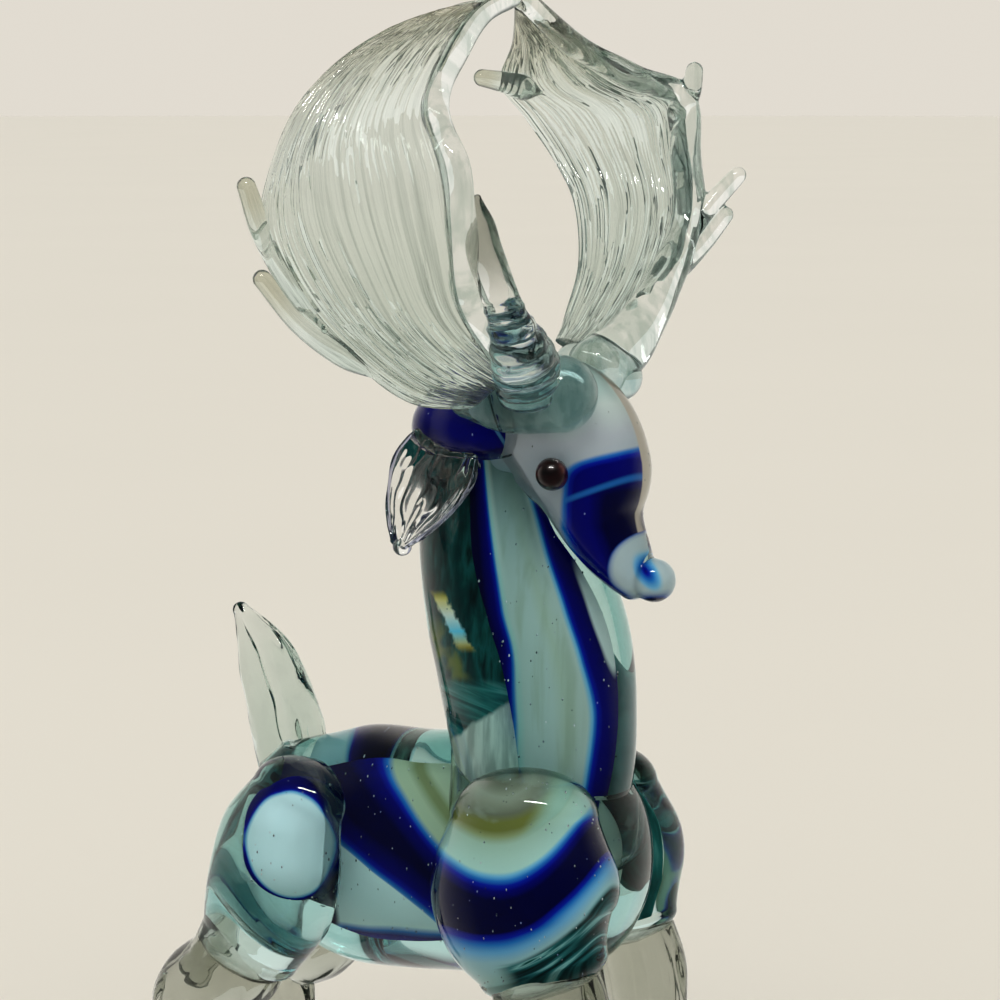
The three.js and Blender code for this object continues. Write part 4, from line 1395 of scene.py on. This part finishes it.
class BuildNeck(bpy.types.Operator):
    """Build the neck: a white ribbon edged with cobalt, in a thick aqua casing"""

    bl_idname = "deer.build_neck"
    bl_label = "Neck"
    # How far before the neck's axis its core lies, station by station
    ahead = (3.2, 3.4, 4, 3.9, 3, 1.4, 1.2)
    # The white's left and right edges there, as shares of the core's half width
    edges = (
        (-1.1, 0.5), (-1, 0.52), (-0.89, 0.6), (-0.76, 0.48), (-0.68, 0.54), (-0.46, 0.78), (-0.5, 0.8),
    )
    # The dark sheet of painted shade behind the ribbon, standing in for the dark room seen in the thick
    # glass: how far left it lies, half its thickness and half its width
    shade_veil_left = 7.8
    shade_veil_thick = 0.8
    shade_veil_wide = 5.9
    # The small sheet of painted shade beside the ribbon, standing in for the dark glass there: half its
    # thickness, and its heights with half its width there
    shade_thick = 0.7
    shade = ((7, 3.4), (14, 4), (22, 2.6), (30, 0.6))

    def execute(self, context):
        stations = [
            (place + (ahead, 0, 0), across - NECK_CASING, deep - NECK_CASING)
            for (place, across, deep), ahead in zip(neck_stations(), self.ahead)
        ]
        core = gather(stations, (0.4, 0.6))
        self.mark_ribbon(core, stations)
        coloured("neck_colours", core, core_glass("neck_bands", neck_paint), "milk_core", "neck_core")
        self.add_shade_sheets()
        fused("neck_glass", neck_form(relief=polish(context, 2, 18)), "casing_aqua", "aqua_casing",
              neck_form, "neck_casing")
        return {"FINISHED"}

    def mark_ribbon(self, core, stations):
        """Keeps on the core how far across the white a point lies, 0 at its left edge and 1 at its right."""
        p = np.array([v.co for v in core.vertices]) / MM - MIDDLE
        heights = np.linspace(0, 1, 200)
        spine = curve([s[0] for s in stations], heights)
        rows = [[s[2] for s in stations], *zip(*self.edges)]
        half, left, right = (
            np.interp(p[:, 2], spine[:, 2], curve(row, heights)[:, 0]) for row in rows
        )
        x = np.interp(p[:, 2], spine[:, 2], spine[:, 0])
        reach = ((p[:, 0] - x) * RIGHTWARDS[0] + p[:, 1] * RIGHTWARDS[1]) / half
        ribbon = core.attributes.new("ribbon", "FLOAT", "POINT")
        ribbon.data.foreach_set("value", (reach - left) / (right - left))

    def add_shade_sheets(self):
        """The two thin sheets of painted teal shade inside the casing."""
        behind = -self.shade_veil_left * RIGHTWARDS
        shade_veil_stations = [
            (place + behind, self.shade_veil_thick, self.shade_veil_wide * across / NECK_WIDTH * 2)
            for place, across, _ in neck_stations()[1:]
        ]
        paint = core_glass("veil_painted_shade", shade_veil_paint)
        coloured("neck_shade_veil", gather(shade_veil_stations, (1, 3), turned=30), paint, "aqua_casing")
        aside = 9 * RIGHTWARDS - 4 * unit(TOWARDS * (1, 1, 0))
        shade = [
            (NECK_FOOT + aside + (-z * NECK_LEAN / NECK_RISE, 0, z), self.shade_thick, wide)
            for z, wide in self.shade
        ]
        paint = core_glass("shade_streaks", shade_paint)
        coloured("neck_shade", gather(shade, (1, 3), turned=30), paint, "aqua_casing")


class BuildCrown(bpy.types.Operator):
    """Build the crown, the back of the skull: a cobalt core in a clear rim"""

    bl_idname = "deer.build_crown"
    bl_label = "Crown"

    def execute(self, context):
        core = crown_form(grow=-CROWN_CASING)
        coloured("crown_colours", core, core_glass("crown_bands", crown_paint), "cobalt_core", "crown_core")
        fused("crown_glass", crown_form(relief=polish(context, 3)), "casing_aqua", "aqua_casing",
              crown_form, "crown_casing")
        return {"FINISHED"}


class BuildHead(bpy.types.Operator):
    """Build the bowed head with its round nose and two eye beads"""

    bl_idname = "deer.build_head"
    bl_label = "Head"

    def execute(self, context):
        nose = head_axis(1.12, 0.96)
        core = head_form(slim=HEAD_CORE_SHARE, shift=(-HEAD_CORE_BACK, 0, 0))
        core = place("head_colours", core, core_glass("head_bands", head_paint))
        joined(core, [ball(nose, NOSE_RADIUS * 0.8)], "UNION")
        melted(core, 0.4, 6)
        settle(smoothed(core), "milk_core", "head_core")
        skull = place("skull", head_form())
        joined(skull, [ball(nose, NOSE_RADIUS)], "UNION")
        melted(skull, 0.4, 16)
        fused("head_glass", bare(skull), "drawn_clear", "clear_glass", head_form, "head_casing")
        amber = eye_glass()
        for side, name in SIDES:
            bead = ball(eye_place(side), EYE_RADIUS)
            coloured(f"{name}_eye_bead", bead, amber, "dark_eye", f"{name}_eye")
        return {"FINISHED"}


class BuildShoulders(bpy.types.Operator):
    """Build the two shoulders: the right one with waved bands inside, the left one with a streaked painted
    shade inside
    """

    bl_idname = "deer.build_shoulders"
    bl_label = "Shoulders"
    # How thick each casing is, and how its core is coloured
    cores = {"right": (3.4, "shoulder_bands", shoulder_paint), "left": (5, "far_shoulder_shade", far_shoulder_shade_paint)}

    def execute(self, context):
        for side, name in SIDES:
            form = partial(shoulder_form, side)
            casing, look, painter = self.cores[name]
            coloured(f"{name}_shoulder_colours", form(grow=-casing), core_glass(look, painter),
                     "cobalt_core", f"{name}_shoulder_core")
            fused(f"{name}_shoulder_glass", form(relief=polish(context, 5 + side)), "casing_aqua",
                  "aqua_casing", form, f"{name}_shoulder_casing")
        return {"FINISHED"}


class BuildHaunches(bpy.types.Operator):
    """Build the two haunches: round gathers with a white oval inside"""

    bl_idname = "deer.build_haunches"
    bl_label = "Haunches"

    def execute(self, context):
        paint = core_glass("haunch_bands", haunch_paint)
        half = HAUNCH_CORE_WIDTH / 2
        stretch = HAUNCH_CORE_HEIGHT / 2 - half
        for side, name in SIDES:
            form = partial(haunch_form, side)
            oval = haunch_core_centre(side)
            core = gather([(oval + (0, 0, z), half, half) for z in (-stretch, stretch)], steps=2)
            coloured(f"{name}_haunch_colours", core, paint, "milk_core", f"{name}_haunch_core")
            fused(f"{name}_haunch_glass", form(relief=polish(context, 8 + side)), "casing_aqua",
                  "aqua_casing", form, f"{name}_haunch_casing")
        return {"FINISHED"}


class BuildLegs(bpy.types.Operator):
    """Build the four clear legs with their pressed feet"""

    bl_idname = "deer.build_legs"
    bl_label = "Legs"

    def execute(self, context):
        for side, name in SIDES:
            ridges = dict(Count=7.0, Height=0.00018, Wander=1.6, Seed=float(3 + side), From=0.02, To=0.7)
            for leg, shape in (("foreleg", foreleg_form), ("hindleg", hindleg_form)):
                form = partial(shape, side)
                body = place("leg", form(relief=polish(context, 11 + side, 9)))
                joined(body, [ground()], "DIFFERENCE")
                fused(f"{name}_{leg}_glass", bare(body), "leg_clear", "clear_glass", form, f"{name}_{leg}",
                      ridges=ridges)
        return {"FINISHED"}


def ground():
    """A block under the floor's level, which cuts the feet flat."""
    corners = [(x, y, z) for z in (-40, 0) for y in (-60, 60) for x in (-60, 60)]
    points = [tuple((at(*corner) + MIDDLE * (1, 1, 0)) * MM) for corner in corners]
    faces = [(0, 2, 3, 1), (4, 5, 7, 6), (0, 1, 5, 4), (2, 6, 7, 3), (0, 4, 6, 2), (1, 3, 7, 5)]
    mesh = bpy.data.meshes.new("ground")
    mesh.from_pydata(points, [], faces)
    return mesh


class BuildAntlers(bpy.types.Operator):
    """Build the antlers: their roots, the near brow tine, the front beams and the ribbed palms"""

    bl_idname = "deer.build_antlers"
    bl_label = "Antlers"

    def execute(self, context):
        for name, shape in ANTLERS.items():
            root = partial(root_form, name)
            fused(f"{name}_antler_pad", root(), "root_aqua", "aqua_casing", root, f"{name}_antler_root")
            if name == "right":
                self.add_brow_tine(context)
            self.add_beam(context, name, shape)
            self.add_palm(context, name, shape)
        return {"FINISHED"}

    def add_brow_tine(self, context):
        coils = dict(Count=float(context.scene.deer_shape.coils), Height=0.0002, Wander=0.6, Around=False,
                     From=0.0, To=0.48, Seed=4.0)
        fused("right_brow_blade", brow_form(), "coiled_clear", "clear_glass", brow_form,
              "right_brow_tine", ridges=coils)

    def add_beam(self, context, name, shape):
        beam = partial(beam_form, name)
        front = place("front", beam(relief=polish(context, 15, 12)))
        if shape["front_tines"]:
            joined(front, [tine_form(places) for places in shape["front_tines"]], "UNION")
        melted(front, 0.32, 5)
        fused(f"{name}_antler_rod", bare(front), "beam_aqua", "clear_glass", beam, f"{name}_antler_beam")

    def add_palm(self, context, name, shape):
        look = context.scene.deer_shape
        palm = place("palm", palm_form(name), kept_glass("ribbed_clear"))
        ridged(palm, "ribbed_clear", Count=float(look.rib_count), Height=look.rib_height, Wander=1.6,
               Seed=shape["rib_seed"])
        joined(palm, [tine_form(places) for places in shape["rear_tines"]], "UNION")
        fused(f"{name}_antler_sheet", bare(palm), "ribbed_clear", "clear_glass", None,
              f"{name}_antler_palm")


def ear_ends(side):
    """Where an ear leaves the crown, and its tip."""
    root = CROWN + (-1.75, side * (CROWN_WIDTH / 2 - 3.2), -2.75)
    return root, root + at(-0.26, side * 0.41, -0.9) * EAR_LENGTH


def ear_form(side, **how):
    root, tip = ear_ends(side)
    shape = ((0, 0.85), (0.3, 1), (0.65, 0.74), (1, 0.2))
    stations = [(root + (tip - root) * share, 1.6, wide * EAR_WIDTH / 2) for share, wide in shape]
    return gather(stations, (0.4, 0.4), cup=side * EAR_CUP / 2, **how)


class BuildEars(bpy.types.Operator):
    """Build the two crumpled ears with their beaded tips"""

    bl_idname = "deer.build_ears"
    bl_label = "Ears"

    def execute(self, context):
        for side, name in SIDES:
            tip = ear_ends(side)[1]
            leaf = place("leaf", ear_form(side, sides=160, steps=24))
            ridged(leaf, "refraction_rimmed_clear", Count=8.0, Height=0.0003, Wander=1.2, Seed=float(7 + side))
            joined(leaf, [ball(tip, EAR_BEAD_RADIUS)], "UNION")
            fused(f"{name}_ear_leaf", bare(leaf), "refraction_rimmed_clear", "clear_glass", partial(ear_form, side),
                  f"{name}_ear")
        return {"FINISHED"}


class BuildTail(bpy.types.Operator):
    """Build the pinched tail"""

    bl_idname = "deer.build_tail"
    bl_label = "Tail"

    def execute(self, context):
        ridges = dict(Count=4.0, Height=0.0003, Wander=1.5, Seed=2.0, From=0.1, To=0.95)
        fused("tail_leaf", tail_form(relief=polish(context, 21, 8)), "tail_clear", "clear_glass",
              tail_form, "tail", ridges=ridges)
        return {"FINISHED"}


class BuildSeeds(bpy.types.Operator):
    """Scatter the tiny bubbles and specks caught over the coloured cores"""

    bl_idname = "deer.build_seeds"
    bl_label = "Seeds"

    def execute(self, context):
        tree = seed_tree()
        glass = seed_glass()
        for k, core in enumerate(("torso", "neck", "right_shoulder", "right_haunch")):
            source = bpy.data.objects[f"{core}_colours"]
            seeds = place(f"{core}_seeds", source.data.copy())
            grown(seeds, tree, Per_square_metre=context.scene.deer_shape.seeds, Seed=31 + k, Glass=glass)
            settle(smoothed(seeds, 80), "clear_glass")
        return {"FINISHED"}


class BuildStage(bpy.types.Operator):
    """Build the pale floor, the soft light and the camera"""

    bl_idname = "deer.build_stage"
    bl_label = "Stage"
    wall = (0.645, 0.61, 0.55)
    dome = 1.14  # how brightly the dome lights matt colours
    dome_way = (-25, 55)  # where it is brightest: its turn from the camera and its rise, in degrees
    lamp_way = (-10, 54.5)
    lamp_far = 1.0
    lamp_size = (0.5, 0.045)  # wide and thin, so that its highlight is a line
    lamp_colour = (1, 0.98, 0.95)
    reach = 14.0  # the round floor's radius, in metres

    def execute(self, context):
        look = context.scene.deer_stage
        scene = context.scene
        floor = self.add_floor(look)
        self.add_camera(scene, look)
        self.add_lamp(scene, look.power, floor)
        self.add_room(scene)
        scene.view_settings.view_transform = "Standard"
        scene.view_settings.look = "Medium High Contrast"
        scene.cycles.max_bounces = 20
        scene.cycles.transmission_bounces = 20
        scene.cycles.glossy_bounces = 8
        scene.cycles.sample_clamp_indirect = 6
        return {"FINISHED"}

    def add_floor(self, look):
        turns = np.linspace(0, 2 * math.pi, 96, endpoint=False)
        edge = [(self.reach * math.cos(turn), self.reach * math.sin(turn), 0) for turn in turns]
        disc = bpy.data.meshes.new("floor")
        disc.from_pydata(edge, [], [tuple(range(len(edge)))])
        floor = place("floor", disc, floor_paint(look.floor))
        floor.visible_glossy = False
        return floor

    def add_camera(self, scene, look):
        data = bpy.data.cameras.new("camera")
        data.lens = look.lens
        data.sensor_width, data.sensor_height = 36, 36
        data.clip_start, data.clip_end = 0.01, 40
        camera = bpy.data.objects.new("camera", data)
        eye = (AIM + MIDDLE) * MM + TOWARDS * look.distance
        turn = Matrix((RIGHTWARDS, UPWARDS, TOWARDS)).transposed().to_4x4()
        camera.matrix_world = Matrix.Translation(Vector(eye)) @ turn
        scene.collection.objects.link(camera)
        scene.camera = camera

    def way(self, turn, rise):
        """The way to a light, by its turn from the camera and its rise over the floor."""
        a, e = AZIMUTH + math.radians(turn), math.radians(rise)
        return at(math.sin(a) * math.cos(e), -math.cos(a) * math.cos(e), math.sin(e))

    def add_lamp(self, scene, power, spared):
        """A thin soft lamp that lights all but the spared object."""
        way = self.way(*self.lamp_way)
        data = bpy.data.lights.new("tube", "AREA")
        data.shape = "RECTANGLE"
        data.size, data.size_y = self.lamp_size
        data.energy = power
        data.color = self.lamp_colour
        lamp = bpy.data.objects.new("tube", data)
        unlit = bpy.data.collections.new("tube_spares")
        unlit.objects.link(spared)
        unlit.collection_objects[0].light_linking.link_state = "EXCLUDE"
        lamp.light_linking.receiver_collection = unlit
        lamp.matrix_world = (
            Matrix.Translation(Vector((AIM + MIDDLE) * MM + way * self.lamp_far))
            @ Vector(way).to_track_quat("Z", "Y").to_matrix().to_4x4()
        )
        scene.collection.objects.link(lamp)

    def add_room(self, scene):
        """A pale wall behind the deer, a dim room before it, and a soft dome that lights matt colours."""
        world = bpy.data.worlds.new("room")
        world.use_nodes = True
        tree = world.node_tree
        tree.nodes.clear()
        way = put(tree, "ShaderNodeTexCoord").outputs["Generated"]
        ahead = put(tree, "ShaderNodeVectorMath", (0, way), (1, tuple(TOWARDS)), operation="DOT_PRODUCT")
        around = bands(tree, ahead.outputs["Value"], [
            (-1, (0.8, 0.77, 0.71)), (-0.6, (0.74, 0.72, 0.67)), (-0.15, (0.4, 0.39, 0.36)),
            (0.25, (0.09, 0.09, 0.09)), (1, (0.03, 0.03, 0.035)),
        ])
        lift = put(tree, "ShaderNodeVectorMath", (0, way), (1, (0, 0, 1)), operation="DOT_PRODUCT")
        ceiling = step(tree, lift.outputs["Value"], 0.45, 0.8)
        around = over(tree, ceiling, around, (0.12, 0.13, 0.13))
        high = put(tree, "ShaderNodeVectorMath", (0, way), (1, self.way(*self.dome_way)),
                   operation="DOT_PRODUCT")
        dome = bands(tree, high.outputs["Value"], [
            (-1, (0.3, 0.3, 0.3)), (0, (0.5, 0.5, 0.49)), (0.6, (0.9, 0.89, 0.86)), (1, (1, 0.99, 0.96)),
        ])
        path = put(tree, "ShaderNodeLightPath")
        lights = [
            put(tree, "ShaderNodeBackground", ("Color", colour), ("Strength", strength)).outputs[0]
            for colour, strength in ((around, 1.0), (dome, self.dome), ((*self.wall, 1), 1.0))
        ]
        matt = maths(tree, "GREATER_THAN", path.outputs["Diffuse Depth"], 0.5)
        lit = put(tree, "ShaderNodeMixShader", (0, matt), (1, lights[0]), (2, lights[1]))
        both = put(tree, "ShaderNodeMixShader", (0, path.outputs["Is Camera Ray"]), (1, lit.outputs[0]),
                   (2, lights[2]))
        end = tree.nodes.new("ShaderNodeOutputWorld")
        tree.links.new(both.outputs[0], end.inputs["Surface"])
        scene.world = world


class DeerPanel(bpy.types.Panel):
    """Lists what the deer is built from"""

    bl_idname = "VIEW3D_PT_glass_deer"
    bl_label = "Glass deer"
    bl_space_type = "VIEW_3D"
    bl_region_type = "UI"
    bl_category = "Glass deer"

    def draw(self, context):
        for group in (context.scene.deer_shape, context.scene.deer_glass, context.scene.deer_stage):
            box = self.layout.box()
            for name in group.__annotations__:
                box.prop(group, name)
        for operator in OPERATORS:
            self.layout.operator(operator.bl_idname)


GROUPS = {"deer_glass": DeerGlass, "deer_shape": DeerShape, "deer_stage": DeerStage}
OPERATORS = (
    BuildNeck, BuildTorso, BuildCrown, BuildHead, BuildShoulders, BuildHaunches, BuildLegs,
    BuildAntlers, BuildEars, BuildTail, BuildSeeds, BuildStage,
)


def register():
    for made in (*GROUPS.values(), *OPERATORS, DeerPanel):
        bpy.utils.register_class(made)
    for name, group in GROUPS.items():
        setattr(bpy.types.Scene, name, bpy.props.PointerProperty(type=group))


def unregister():
    for name in GROUPS:
        delattr(bpy.types.Scene, name)
    for made in reversed((*GROUPS.values(), *OPERATORS, DeerPanel)):
        bpy.utils.unregister_class(made)


def main():
    """Builds the deer and its stage."""
    register()
    for operator in OPERATORS:
        group, name = operator.bl_idname.split(".")
        getattr(getattr(bpy.ops, group), name)()


if __name__ == "__main__":
    main()
